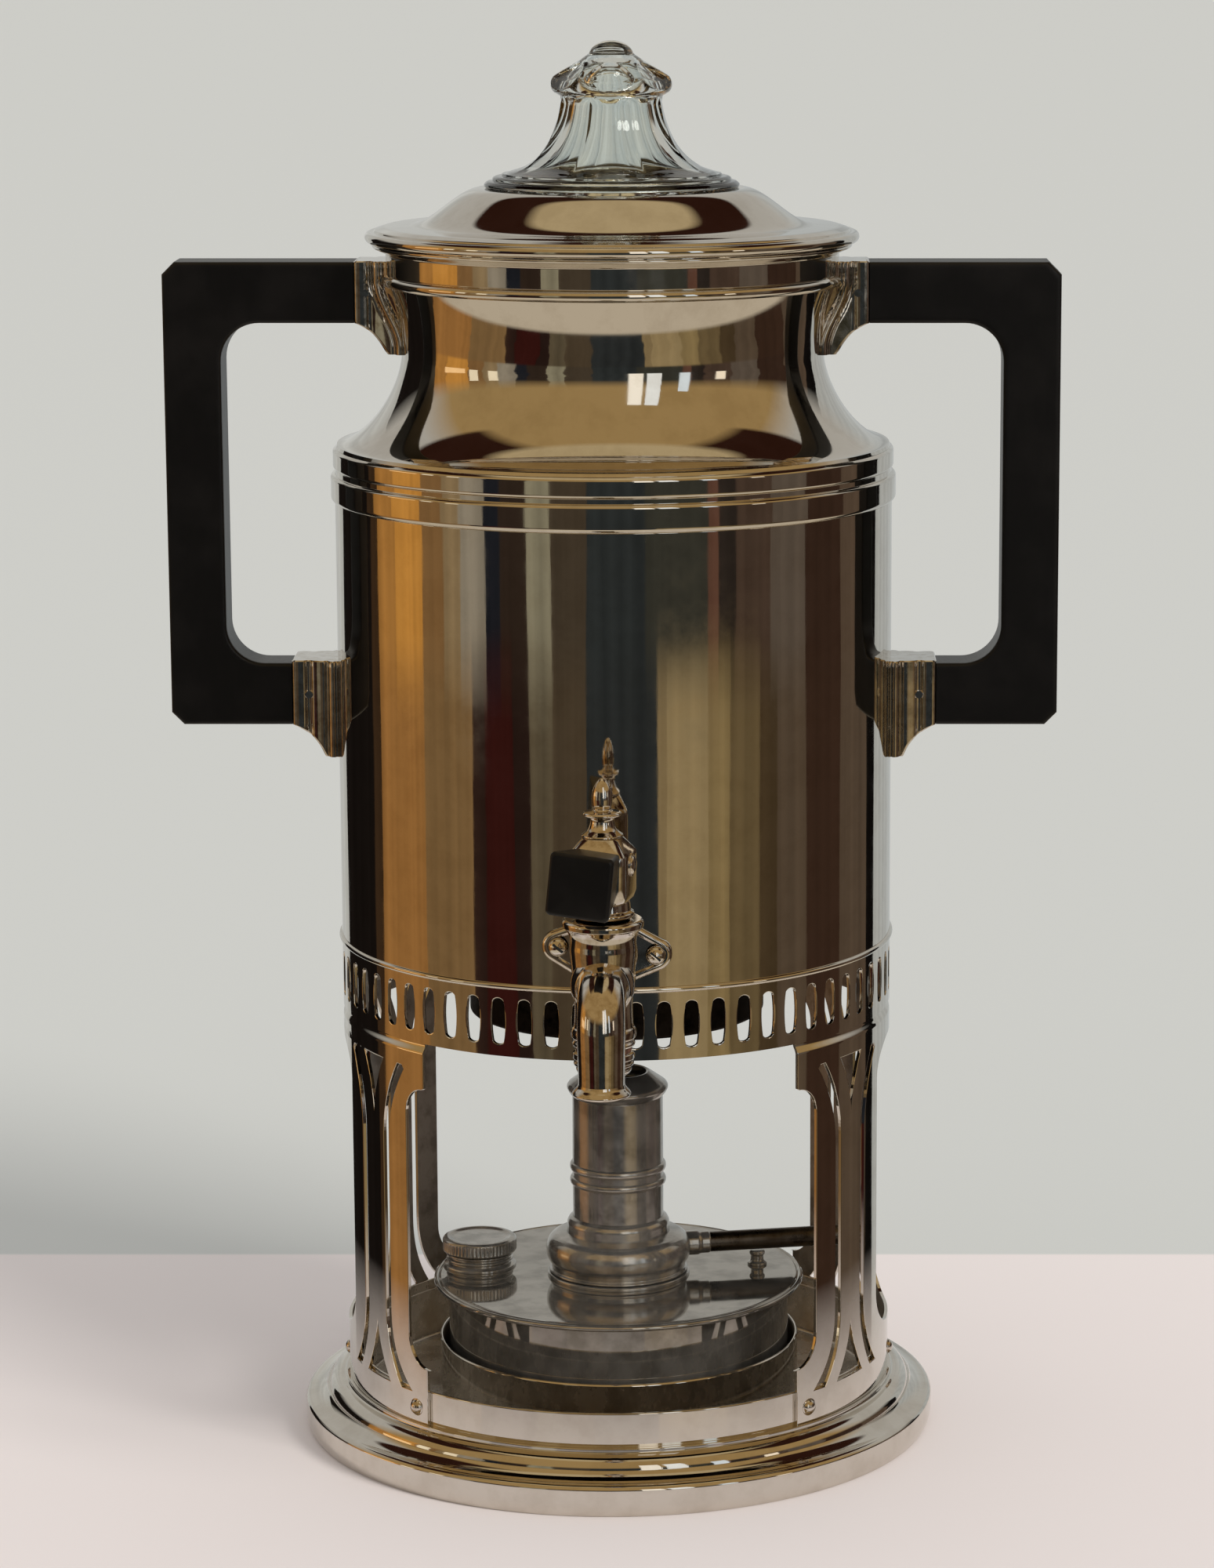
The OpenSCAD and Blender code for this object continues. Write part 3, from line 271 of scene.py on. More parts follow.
# Makes a piece from points in mm: welds seams and poles, turns faces outwards, keeps edges crisp
def addPiece(name, shape, body, finish, node, crisp=34, inside=None, under=None):
    points, faces = shape
    mesh = bpy.data.meshes.new(name)
    mesh.from_pydata((points * mm).tolist(), [], faces.tolist())
    work = bmesh.new()
    work.from_mesh(mesh)
    bmesh.ops.remove_doubles(work, verts=work.verts, dist=0.003 * mm)
    bmesh.ops.recalc_face_normals(work, faces=work.faces)
    work.to_mesh(mesh)
    work.free()
    mesh.polygons.foreach_set("use_smooth", np.ones(len(mesh.polygons), bool))
    mesh.set_sharp_from_angle(angle=math.radians(crisp))
    mesh.materials.append(finish)
    if inside or under:
        finishFaces(mesh, inside or under, under is not None)
    placePiece(addObject(name, mesh), body, node)


# Points on an ellipse's arc about (r, z), with half widths a and b, between two angles in degrees
def bow(r, z, a, b, start, end, count=10):
    turn = np.radians(np.linspace(start, end, count + 1))
    return np.stack([r + a * np.cos(turn), z + b * np.sin(turn), 0 * turn], 1)


def arcPoints(x, z, a, b, start, end, count=12):
    return bow(x, z, a, b, start, end, count)[:, :2]


# A share that starts and ends gently: 3t^2 - 2t^3
def eased(t):
    return (3 - 2 * t) * t * t


def fullTurn(count):
    return np.linspace(0, 2 * math.pi, count, endpoint=False)


# A smooth curve through the given points: a cubic between each two, with slopes from their neighbours
def through(points, count=8):
    p = np.asarray(points, float)
    ends = np.concatenate([[2 * p[0] - p[1]], p, [2 * p[-1] - p[-2]]])
    a, b, c, d = ends[:-3, None], ends[1:-2, None], ends[2:-1, None], ends[3:, None]
    t = np.linspace(0, 1, count, endpoint=False)[None, :, None]
    curve = b + 0.5 * t * (c - a + t * (2 * a - 5 * b + 4 * c - d + t * (3 * (b - c) + d - a)))
    curve = np.concatenate([curve.reshape(-1, p.shape[1]), p[-1:]])
    return np.concatenate([curve, np.zeros((len(curve), 1))], 1)


# Rounds an outline's corners: a point (r, z, radius) becomes a quadratic curve that starts and ends one
# radius away, with a guard point beyond each end so that the flat faces between stay flat
def rounded(outline, closed=True, steps=5):
    p = np.concatenate([np.atleast_2d(np.asarray(part, float)) for part in outline])
    corner, radius = p[:, :2], p[:, 2].copy()
    if not closed:
        radius[[0, -1]] = 0
    back, ahead = np.roll(corner, 1, 0) - corner, np.roll(corner, -1, 0) - corner
    backLength = np.linalg.norm(back, axis=1) + 1e-9
    aheadLength = np.linalg.norm(ahead, axis=1) + 1e-9
    cut = np.minimum(radius, 0.42 * np.minimum(backLength, aheadLength))[:, None]
    start, end = corner + back / backLength[:, None] * cut, corner + ahead / aheadLength[:, None] * cut
    t = np.linspace(0, 1, steps + 1)[None, :, None]
    arc = (1 - t) ** 2 * start[:, None] + 2 * t * (1 - t) * corner[:, None] + t ** 2 * end[:, None]
    guard = np.minimum(1.3 * cut, 0.48 * np.minimum(backLength, aheadLength)[:, None])
    guard = np.where(cut > 0, guard, 0)
    first = corner + back / backLength[:, None] * guard
    last = corner + ahead / aheadLength[:, None] * guard
    dense = np.concatenate([first[:, None], arc, last[:, None]], 1).reshape(-1, 2)
    keep = np.linalg.norm(dense - np.roll(dense, 1, 0), axis=1) > 1e-4
    if not closed:
        keep[0] = True
    return dense[keep]


# Closes a stack of loops: each end gets a row that lies at the middle of its loop
def closedEnds(grid):
    ends = grid[[0, -1]].mean(1, keepdims=True) + 0 * grid[[0, -1]]
    return np.concatenate([ends[:1], grid, ends[1:]])


# Carries a profile (r, z) round an upright axis: x = r sin a, y = -r cos a
def spunGrid(profile, turns, centre=(0, 0)):
    angle, r, z = fullTurn(turns), profile[:, :1], profile[:, 1:2]
    return np.stack([centre[0] + r * np.sin(angle), centre[1] - r * np.cos(angle), z + 0 * angle], -1)


# A ring with a closed outline, or a solid whose outline runs from the axis and back to it
def spun(outline, turns, centre=(0, 0), solid=False, lift=0):
    profile = rounded(outline, closed=not solid) + [0, lift]
    return surface(spunGrid(profile, turns, centre), not solid, True)


def addSpun(name, node, body, finish, turns, outline, centre=(0, 0), solid=False, **more):
    addPiece(name, spun(outline, turns, centre, solid), body, finish, node, **more)


# A round tube of changing radius along a path: each ring lies across the path at that point
def tube(path, radius, turns):
    ahead = np.gradient(path, axis=0)
    ahead /= np.linalg.norm(ahead, axis=1)[:, None]
    side = np.cross(ahead, np.array([1, 0, 0]) if abs(ahead[0][0]) < 0.9 else np.array([0, 0, 1]))
    side /= np.linalg.norm(side, axis=1)[:, None]
    other = np.cross(ahead, side)
    angle = fullTurn(turns)[None, :, None]
    across = np.cos(angle) * side[:, None] + np.sin(angle) * other[:, None]
    return surface(path[:, None] + radius[:, None, None] * across, False, True)


# Turns a shape about the upright axis by degrees seen from above, then moves it sideways
def turned(shape, degrees, move=(0, 0)):
    (x, y, z), turn = shape[0].T, math.radians(degrees)
    return np.stack([move[0] + x * math.cos(turn) - y * math.sin(turn),
        move[1] + x * math.sin(turn) + y * math.cos(turn), z], 1), shape[1]


def mirrored(shape):
    points, faces = shape
    return points * [-1, 1, 1], faces


print("surface tools ready")

# The cylinder's and the neck rim's radius
vesselRadius = 72.5
rimRadius = 58.6

# Foot, tray and burner ring
footRing = {"turns": 320, "inside": wipedNickel, "outline": [
    (83.2, 0, 0.3), (84, 1.5, 0.6), (84.3, 3, 0.8), (84.3, 7.4, 0.4), (83.7, 8.1, 0.3),
    bow(83.3, 11.6, 5.2, 3.3, 268, 200, 14), (78.1, 10.45, 0.1), bow(74.6, 10, 3.5, 3.4, 8, 95, 16),
    (73.95, 13.4, 0.1), (73.5, 13.6, 0.15), (73.4, 14.6, 0.25), (71.5, 14.6, 0.1), (71.5, 23.4, 0.4),
    (70.5, 23.4, 0.3), (70.5, 13.7, 0.4), (72.6, 12.8, 0.4), (74.2, 12.4, 0.2),
    bow(74.6, 10, 2.6, 2.5, 80, 10, 6), bow(83.3, 11.6, 6.1, 4.2, 205, 268, 8), (83.4, 6.4, 0.3),
    (83.3, 3, 0.3), (82.3, 0, 0.2)]}
addSpun("footRing", "base_ring", "urn", nickel, **footRing)
trayFloor = {"turns": 256, "solid": True, "outline": [
    (0, 6.2, 0), (70.5, 6.2, 0.3), (70.5, 21, 0.3), (69.5, 21, 0.3), (69.5, 7.2, 1.4), (0, 7.2, 0)]}
addSpun("trayFloor", "tray_floor", "urn", wipedNickel, **trayFloor)
burnerRing = {"turns": 256, "inside": unbuffed, "outline": [
    (47.2, 7.2, 0), (48.2, 7.2, 0.2), (48.2, 22.9, 0.3), (47.9, 23.3, 0.15), (47.5, 23.3, 0.15),
    (47.2, 22.9, 0.2)]}
addSpun("burnerRing", "burner_holder", "urn", nickel, **burnerRing)

# Vessel, bead, rings, neck and rim
vesselShell = {"turns": 384, "under": sooted, "outline": [
    (39, 134.3, 0), (vesselRadius, 134.3, 0.2), (vesselRadius, 249.4, 0.1), (71.5, 249.4, 0.1),
    (71.5, 135.3, 1.5), (39, 135.3, 0)]}
addSpun("vesselShell", "vessel_shell", "urn", nickel, **vesselShell)
bandBead = {"turns": 320, "outline": [
    (72.3, 133.5, 0), bow(72.5, 134.3, 0.75, 0.75, -80, 80, 8), (72.3, 135.1, 0)]}
addSpun("bandBead", "band_bead", "urn", nickel, **bandBead)
heatingWell = {"turns": 192, "solid": True, "inside": unbuffed, "outline": [
    (0, 113, 0), (39, 113, 0.9), (39, 135.3, 0.1), (42, 135.3, 0.2), (42, 136.3, 0.2), (38, 136.3, 0.2),
    (38, 114, 1.2), (0, 114, 0)]}
addSpun("heatingWell", "heating_well", "urn", sooted, **heatingWell)
shoulderRings = {"turns": 384, "outline": [
    (71.5, 249.4, 0), (72.5, 249.4, 0.05), (73.2, 249.8, 0.2), (73.5, 250.4, 0.3), (73.5, 255.8, 0.4),
    (73.1, 256.3, 0.2), (72.4, 256.6, 0.1), (72.4, 257.9, 0.1), (72.7, 258.2, 0.1), (72.9, 258.6, 0.2),
    (72.9, 262.5, 0.4), (72.1, 263.2, 0.2), (71.5, 263.2, 0)]}
addSpun("shoulderRings", "shoulder_rings", "urn", nickel, **shoulderRings)

# The neck sweeps in from the shoulder to its waist on powers of sine and cosine, then flares as a square
neckLine = {"foot": (71.7, 264.1), "waist": (54.7, 287), "top": (58, 304.7), "power": 1.25}


def neckProfile():
    footR, footZ = neckLine["foot"]
    waistR, waistZ = neckLine["waist"]
    topR, topZ = neckLine["top"]
    turn = np.linspace(0, math.pi / 2, 41)
    low = np.stack([footR - (footR - waistR) * np.sin(turn) ** neckLine["power"],
        waistZ - (waistZ - footZ) * np.maximum(np.cos(turn), 0) ** neckLine["power"]], 1)
    t = np.linspace(0, 1, 17)[1:]
    high = np.stack([waistR + (topR - waistR) * t ** 2, waistZ + (topZ - waistZ) * t], 1)
    line = np.concatenate([low, high])
    return np.concatenate([line, np.zeros((len(line), 1))], 1)


neckOuter = neckProfile()
neckInner = (neckOuter - [1.15, 0.9, 0])[::-1]
neckShell = {"turns": 384, "outline": [
    (72.1, 263.2, 0.1), neckOuter, (57, 304.7, 0), neckInner[1:-1], (70.1, 263.2, 0)]}
addSpun("neckShell", "neck_shell", "urn", nickel, **neckShell)
neckRim = {"turns": 384, "outline": [
    (57, 304.7, 0), bow(58.1, 306.2, 1.5, 1.5, -78, 76, 14), (rimRadius, 307.9, 0.1), (rimRadius, 313.2, 0.3),
    (59.2, 313.5, 0.2), (61.8, 314.6, 0.3), (62, 315.1, 0.2), (61.8, 315.5, 0.15), (57, 315.5, 0.3)]}
addSpun("neckRim", "neck_rim", "urn", nickel, **neckRim)
print("vessel made")

# Lid
lidDome = {"brim": (52.5, 320.2), "top": (33.9, 329.6)}


# The dome rises from the brim to the glass as the eased curve does
def domeProfile():
    (brimR, brimZ), (topR, topZ) = lidDome["brim"], lidDome["top"]
    t = np.linspace(0, 1, 33)
    return np.stack([brimR + (topR - brimR) * t, brimZ + (topZ - brimZ) * eased(t), 0 * t], 1)


dome = domeProfile()
lidShell = {"turns": 384, "outline": [
    (56.7, 315.8, 0), (61.4, 315.8, 0), bow(62.4, 317.2, 1.4, 1.4, -90, 112, 16), (61.5, 318.6, 0.15),
    (61.2, 319.15, 0.2), (58.8, 319.9, 0.6), dome, (28.2, 329.6, 0.1), (28.2, 328.6, 0),
    (dome - [0.5, 1, 0])[::-1], (56.7, 316.8, 0)]}
addSpun("lidShell", "lid_shell", "lid", nickel, **lidShell)
lidSkirt = {"turns": 192, "outline": [
    (55.8, 309.3, 0.2), (56.7, 309.3, 0.2), (56.7, 316.8, 0), (55.8, 316.8, 0)]}
addSpun("lidSkirt", "lid_skirt", "lid", nickel, **lidSkirt)
glassRing = {"turns": 128, "outline": [
    (28.2, 325.6, 0.2), (31.4, 325.6, 0.3), (31.6, 328.6, 0), (28.2, 328.6, 0)]}
addSpun("glassRing", "glass_ring", "lid", nickel, **glassRing)

# Glass knob
glassKnob = {"low": 329.6, "facets": 8, "facetReach": 1.03, "ovals": 6, "ovalDepth": 1.2, "ovalShare": 0.82,
    "ovalLevel": 28.6, "ovalHalfHeight": 3.4, "headFrom": 24.5, "turns": 288}


# The radius at angle a is scaled by cos(w) / cos(a') inside each facet of half width w, where the profile's
# weight is 1; on the head, shallow ovals are pressed in: depth * (1 - (da / a0)^2 - (dz / z0)^2)
def glassShape():
    k = glassKnob
    outer = rounded([
        (28.2, 0, 0), (32.5, 0, 0.1), (32.9, 0.5, 0.2), (32.9, 1, 0.3), (32.1, 1.7, 0.3),
        (30.9, 1.9, 0.15), (30.7, 2.6, 0.2), (29.9, 3, 0.3), (28.5, 3.1, 0.15),
        (28.2, 3.7, 0.1), through([(27.6, 3.8), (23.2, 5.4), (19.4, 8.4), (16.6, 12.2),
        (14.7, 16.6), (13.7, 20.6), (13.4, 23.4)], 6),
        bow(14, 26.3, 1.6, 2.3, -72, 50, 12), through([(14.9, 28.3), (13.2, 29.4), (10.6, 30.9),
        (8.2, 32.4), (6.2, 33.7)], 6),
        bow(0, 33.6, 5.7, 3.8, 10, 90, 12)], closed=False, steps=4)
    weight = np.interp(outer[:, 1], [3.6, 5.5, 21.5, 24.2], [0, 1, 1, 0])[:, None]
    angle = fullTurn(k["turns"])[None]
    half = math.pi / k["facets"]
    local = (angle + half) % (2 * half) - half
    flat = math.cos(half) / np.cos(local) * k["facetReach"]
    r, z = outer[:, :1] * (1 + weight * (flat - 1)), outer[:, 1:2] + 0 * angle
    wide = math.pi / k["ovals"]
    across = ((angle + wide) % (2 * wide) - wide) / (k["ovalShare"] * wide)
    up = (z - k["ovalLevel"]) / k["ovalHalfHeight"]
    onHead = outer[:, 1:2] > k["headFrom"]
    dip = np.clip(1 - across ** 2 - up ** 2, 0, 1) ** 0.8 * onHead
    r = r - k["ovalDepth"] * dip
    z = z - 0.8 * k["ovalDepth"] * dip
    outerGrid = np.stack([r * np.sin(angle), -r * np.cos(angle), z + k["low"]], -1)
    inner = rounded([(0, 30.6, 0), (5, 30.2, 0.8), through([(9.4, 25.6), (9.9, 20), (11.5, 14.5),
        (15, 9), (20, 4.4), (25, 1)], 6), (25, -5, 0.2), (28.2, -5, 0.2),
        (28.2, 0, 0)], closed=False, steps=3) + [0, k["low"]]
    innerGrid = spunGrid(inner, k["turns"])
    return surface(np.concatenate([innerGrid[-1:], outerGrid[1:], innerGrid[:-1]]), True, True)


addPiece("glassKnob", glassShape(), "lid", clearGlass, "glass_knob", crisp=60)
print("lid made")

# Vent band
ventBand = {"sheet": 1, "low": 116.2, "high": 134.3, "slots": 64, "slotMiddle": 125.15, "slotHalfWidth": 1.95,
    "slotHalfRun": 4, "edge": 0.16}


# One cell of the band is drawn flat, between a round-ended slot and the cell's border, then wrapped on the
# cylinder: x = R sin(u / R), y = -R cos(u / R); the rows run over the edge, through the slot and back inside
def ventCells():
    v = ventBand
    cap = np.radians(np.linspace(-90, 90, 49))
    w, run = v["slotHalfWidth"], v["slotHalfRun"]
    side = np.stack([w * np.cos(cap), w * np.sin(cap) + run * np.clip(np.sin(cap) * 1.6, -1, 1)], 1)
    slot = np.concatenate([side, -side[1:-1]])
    slotOut = slot / np.linalg.norm(slot * [1, w / (w + run)], axis=1)[:, None]
    cellHalf = math.pi * vesselRadius / v["slots"]
    low, high = v["low"] - v["slotMiddle"], v["high"] - v["slotMiddle"]
    reach = np.where(slot[:, 1] > 0, high, -low)
    turn = np.arctan2(slot[:, 1] / reach * cellHalf, slot[:, 0])
    scale = 1 / np.maximum(np.abs(np.cos(turn)) / cellHalf, np.abs(np.sin(turn)) / cellHalf)
    border = np.stack([scale * np.cos(turn), scale * np.sin(turn) / cellHalf * reach], 1)
    corner = np.isclose(np.abs(border[:, 0]), cellHalf, atol=0.25) & np.isclose(
        np.abs(border[:, 1]), reach, atol=0.9)
    border[corner] = np.sign(border[corner]) * np.stack([np.full(corner.sum(), cellHalf), reach[corner]], 1)
    away = slotOut / np.linalg.norm(slotOut, axis=1)[:, None]
    e = v["edge"]
    outer, inner = 0, v["sheet"]
    steps = [(1, 0, outer), (0.5, 0, outer), (0, 2.4 * e, outer), (0, e, outer), (0, 0.3 * e, 0.3 * e),
        (0, 0, e), (0, 0, inner - e), (0, 0.3 * e, inner - 0.3 * e), (0, e, inner), (0, 2.4 * e, inner),
        (1, 0, inner)]
    flat = np.stack([slot + push * away + share * (border - slot) for share, push, _ in steps])
    radius = vesselRadius - np.array([depth for _, _, depth in steps])[:, None]
    parts = []
    for number in range(v["slots"]):
        angle = flat[..., 0] / vesselRadius + 2 * math.pi * number / v["slots"]
        grid = np.stack([radius * np.sin(angle), -radius * np.cos(angle), v["slotMiddle"] + flat[..., 1]], -1)
        parts.append(surface(grid, False, True))
        rims = np.stack([grid[0], grid[-1]])
        onRim = (np.abs(border[:, 1] - high) < 1e-6) | (np.abs(border[:, 1] - low) < 1e-6)
        points, faces = surface(rims, False, True)
        size = len(border)
        start = faces[:, 0] % size
        pick = onRim[start] & onRim[(start + 1) % size]
        parts.append((points, faces[pick]))
    return joined(parts)


addPiece("ventBand", ventCells(), "urn", nickel, "vent_band", crisp=30, inside=unbuffed)
print("vent band made")

# Side panels
column = {"radius": 72, "middle": 31.4, "sheet": 1, "seat": 14.6, "top": 118.6, "tab": 21.6, "waist": 15,
    "tabLow": 104.2, "flareLow": 29.3, "windowLow": 29.6, "windowHigh": 108, "stepLow": 113.2,
    "stepHigh": 115.6, "edge": 0.14, "windowCorner": (14, 9, 11), "reach": 52, "strips": 86}


# How far a panel's edge lies from its column's middle, followed upwards
def panelEdge():
    c = column
    low = arcPoints(c["waist"] + 7.4, c["flareLow"] + 8.7, 7.4, 8.7, 270, 180)
    high = arcPoints(c["waist"] + 6, c["tabLow"] - 7.4, 6, 7, 180, 90)
    return np.concatenate([[(c["tab"], c["seat"]), (c["tab"], c["flareLow"])], low, high,
        [(c["tab"], c["tabLow"]), (c["tab"], c["top"])]])


# The pierced slots curl outwards at both ends; the openings between them are apex, base and half width
piercing = {"low": 22.6, "high": 108.2, "straight": (44, 88), "offset": 6.1, "swing": (7.2, 6.4), "half": 1.2,
    "openings": [(95, 109.4, 5.2), (37.6, 22.8, 6.4)]}


# A curled slot's middle swings out as a power of the height past its straight part
def curledSlot(side):
    p = piercing
    (straightLow, straightHigh), (swingLow, swingHigh) = p["straight"], p["swing"]
    z = np.concatenate([np.linspace(p["low"], straightLow, 22), np.linspace(straightHigh, p["high"], 22)])
    down, up = np.maximum(0, (straightLow - z) / 21), np.maximum(0, (z - straightHigh) / 20)
    middle = p["offset"] + swingLow * down ** 2.5 + swingHigh * up ** 2
    half = p["half"] + 0.9 * down ** 3 + 0.4 * up
    right = np.stack([middle + half, z], 1)
    left = np.stack([middle - half, z], 1)[::-1]
    end = [(middle[-1] + 0.9, p["high"] + 1), (middle[-1] - 0.9, p["high"] + 1.1)]
    return np.concatenate([right, end, left]) * [side, 1]


def pointedOpening(apex, base, half):
    t = np.linspace(0, 1, 16)[1:]
    right = np.stack([half * (0.62 * t * t + 0.38 * t), apex + (base - apex) * t], 1)
    return np.concatenate([[(0, apex)], right, right[::-1] * [-1, 1]])


def sideWindow():
    c = column
    half = vesselRadius * math.sin(math.radians(c["middle"])) - c["waist"]
    wide, tallTop, tallFoot = c["windowCorner"]
    top, foot, x = c["windowHigh"] - tallTop, c["windowLow"] + tallFoot, half - wide
    return np.concatenate([arcPoints(x, top, wide, tallTop, 0, 90), arcPoints(-x, top, wide, tallTop, 90, 180),
        arcPoints(-x, foot, wide, tallFoot, 180, 270), arcPoints(x, foot, wide, tallFoot, 270, 360)])


# The sheet is pierced flat, cut into narrow strips and rolled: x = R sin(u / R), y = -R cos(u / R)
def addSidePanel(name, side, node):
    c = column
    r = c["radius"] + 0.5 * c["sheet"]

    # a drawing's x about an upright line at some degrees from the side, laid out along the rolled sheet
    def laid(points, degrees):
        return np.stack([r * (np.arcsin(points[:, 0] / r) + math.radians(degrees)), points[:, 1]], 1)

    edge = panelEdge()
    outlines = [np.concatenate([laid(edge, c["middle"]), laid(edge * [-1, 1], -c["middle"])[::-1]]),
        laid(sideWindow(), 0)]
    pierced = [curledSlot(1), curledSlot(-1)] + [pointedOpening(*opening) for opening in piercing["openings"]]
    outlines += [laid(shape, degrees) for degrees in (-c["middle"], c["middle"]) for shape in pierced]
    sheet = bpy.data.curves.new(name, "CURVE")
    sheet.dimensions, sheet.fill_mode = "2D", "BOTH"
    sheet.extrude, sheet.bevel_depth = 0.5 * c["sheet"] - c["edge"], c["edge"]
    sheet.offset, sheet.bevel_resolution = -c["edge"], 1
    for outline in outlines:
        line = sheet.splines.new("POLY")
        line.points.add(len(outline) - 1)
        rest = np.tile([0, 1], (len(outline), 1))
        line.points.foreach_set("co", np.concatenate([outline, rest], 1).ravel())
        line.use_cyclic_u = True
    drawing = addObject(name, sheet)
    mesh = bpy.data.meshes.new_from_object(drawing.evaluated_get(bpy.context.evaluated_depsgraph_get()))
    bpy.data.objects.remove(drawing)
    work = bmesh.new()
    work.from_mesh(mesh)
    bmesh.ops.remove_doubles(work, verts=work.verts, dist=0.002)
    reach = math.radians(c["reach"]) * r
    cuts = [((u, 0, 0), (1, 0, 0)) for u in np.linspace(-reach, reach, c["strips"])]
    cuts += [((0, z, 0), (0, 1, 0)) for z in np.linspace(c["stepLow"], c["stepHigh"], 11)]
    for place, way in cuts:
        bmesh.ops.bisect_plane(work, geom=work.verts[:] + work.edges[:] + work.faces[:], plane_co=place,
            plane_no=way, dist=1e-5)
    bmesh.ops.recalc_face_normals(work, faces=work.faces)
    work.to_mesh(mesh)
    work.free()
    flat = valuesOf(mesh.vertices, "co", 3)
    facing = valuesOf(mesh.polygons, "normal", 3)[:, 2]
    # the sheet steps in by its own thickness at the top
    t = np.clip((flat[:, 1] - c["stepLow"]) / (c["stepHigh"] - c["stepLow"]), 0, 1)
    radius = c["radius"] + flat[:, 2] - c["sheet"] * eased(t)
    slope = c["sheet"] * 6 * t * (1 - t) / (c["stepHigh"] - c["stepLow"])
    angle = side * (flat[:, 0] / r + math.pi / 2)
    points = np.stack([radius * np.sin(angle), -radius * np.cos(angle), flat[:, 1]], 1)
    mesh.vertices.foreach_set("co", (points * mm).ravel())
    if side < 0:
        mesh.flip_normals()
    mesh.update()
    # each corner's normal: straight out of the rolled sheet on its faces, the facet's own on its edges
    outward = np.stack([np.sin(angle), -np.cos(angle), slope], 1)
    outward /= np.linalg.norm(outward, axis=1)[:, None]
    corners = valuesOf(mesh.loops, "vertex_index", kind=int)
    counts = valuesOf(mesh.polygons, "loop_total", kind=int)
    facing = np.repeat(facing, counts)
    normals = np.repeat(valuesOf(mesh.polygons, "normal", 3), counts, 0)
    onFace = np.abs(facing) > 0.98
    normals[onFace] = outward[corners[onFace]] * np.sign(facing[onFace])[:, None]
    mesh.polygons.foreach_set("use_smooth", np.ones(len(mesh.polygons), bool))
    mesh.normals_split_custom_set(normals.tolist())
    mesh.materials.append(nickel)
    finishFaces(mesh, unbuffed)
    placePiece(addObject(name, mesh), "urn", node)


addSidePanel("sidePanelRight", 1, "side_panel_right")
addSidePanel("sidePanelLeft", -1, "side_panel_left")

# Rivets: domed heads with a turned collar, each set square to the band
rivet = {"degrees": [-135.4, -90, -44.6, 44.6, 90, 135.4], "height": 18.6, "seat": 72.3,
    "profile": [(2.3, 0, 0), (2.3, 0.25, 0.1), bow(0, 0.1, 2, 1.5, 10, 90, 8)]}


def rivetShapes():
    head = spunGrid(rounded(rivet["profile"], closed=False, steps=2), 40)
    parts = []
    for degrees in rivet["degrees"]:
        out = rivet["seat"] + head[..., 2]
        turn = math.radians(degrees)
        x = out * math.sin(turn) + head[..., 0] * math.cos(turn)
        y = -out * math.cos(turn) + head[..., 0] * math.sin(turn)
        parts.append(surface(np.stack([x, y, rivet["height"] + head[..., 1]], -1), False, True))
    return joined(parts)


addPiece("panelRivets", rivetShapes(), "urn", castNickel, "panel_rivets")
print("stand made")

# Handles
handle = {"outer": 115.8, "inner": 101, "top": 310.9, "topBar": 15.7, "low": 190.3, "lowBar": 16.2,
    "depth": 14.5, "bend": 10, "cutCorner": 3.2, "topEnd": 66.4, "lowEnd": 84.2, "edge": 0.9}


# A rounded four-sided section is carried between an outer and an inner line, matched point by point
def handleShape():
    h = handle
    high, low = h["top"] - h["topBar"], h["low"] + h["lowBar"]
    x, k = h["inner"] - h["bend"], h["cutCorner"]
    bendHigh = arcPoints(x, high - h["bend"], h["bend"], h["bend"], 90, 0, 14)
    bendLow = arcPoints(x, low + h["bend"], h["bend"], h["bend"], 0, -90, 14)
    short, tall = np.linspace(x + 6, h["outer"] - k, 8), np.linspace(0, 8, 7)
    outerHigh = np.concatenate([np.stack([short, 0 * short + h["top"]], 1),
        np.stack([0 * tall + h["outer"], h["top"] - k - tall], 1)])
    outerLow = np.concatenate([np.stack([0 * tall + h["outer"], h["low"] + k + tall[::-1]], 1),
        np.stack([short[::-1], 0 * short + h["low"]], 1)])
    outer = np.array([(h["topEnd"], h["top"]), (h["topEnd"] + 0.8, h["top"]), *outerHigh, *outerLow,
        (h["lowEnd"] + 0.8, h["low"]), (h["lowEnd"], h["low"])])
    inner = np.array([(h["topEnd"], high), (h["topEnd"] + 0.8, high), *bendHigh, *bendLow,
        (h["lowEnd"] + 0.8, low), (h["lowEnd"], low)])
    across = np.linalg.norm(inner - outer, axis=1)[:, None]
    way = (inner - outer) / across
    e, half = h["edge"], h["depth"] / 2
    turn = np.radians(np.linspace(0, 90, 5))
    fromEdge = np.concatenate([e - e * np.cos(turn), [e * 2.2]])
    fromSide = np.concatenate([e - e * np.sin(turn), [0]])
    near = np.concatenate([[0], fromEdge])[None]
    depth = np.concatenate([[half - 2.2 * e], half - fromSide])
    far = across - near[:, ::-1]
    alongFront = np.concatenate([near + 0 * across, far], 1)
    along = np.concatenate([alongFront, alongFront[:, ::-1]], 1)
    y = np.concatenate([-depth, -depth[::-1], depth, depth[::-1]])
    flat = outer[:, None] + way[:, None] * along[..., None]
    grid = np.stack([flat[..., 0], np.broadcast_to(y, flat.shape[:2]), flat[..., 1]], -1)
    return surface(closedEnds(grid), False, True)


addPiece("handleRight", handleShape(), "urn", ebony, "handle_right", crisp=30)
addPiece("handleLeft", mirrored(handleShape()), "urn", ebony, "handle_left", crisp=30)

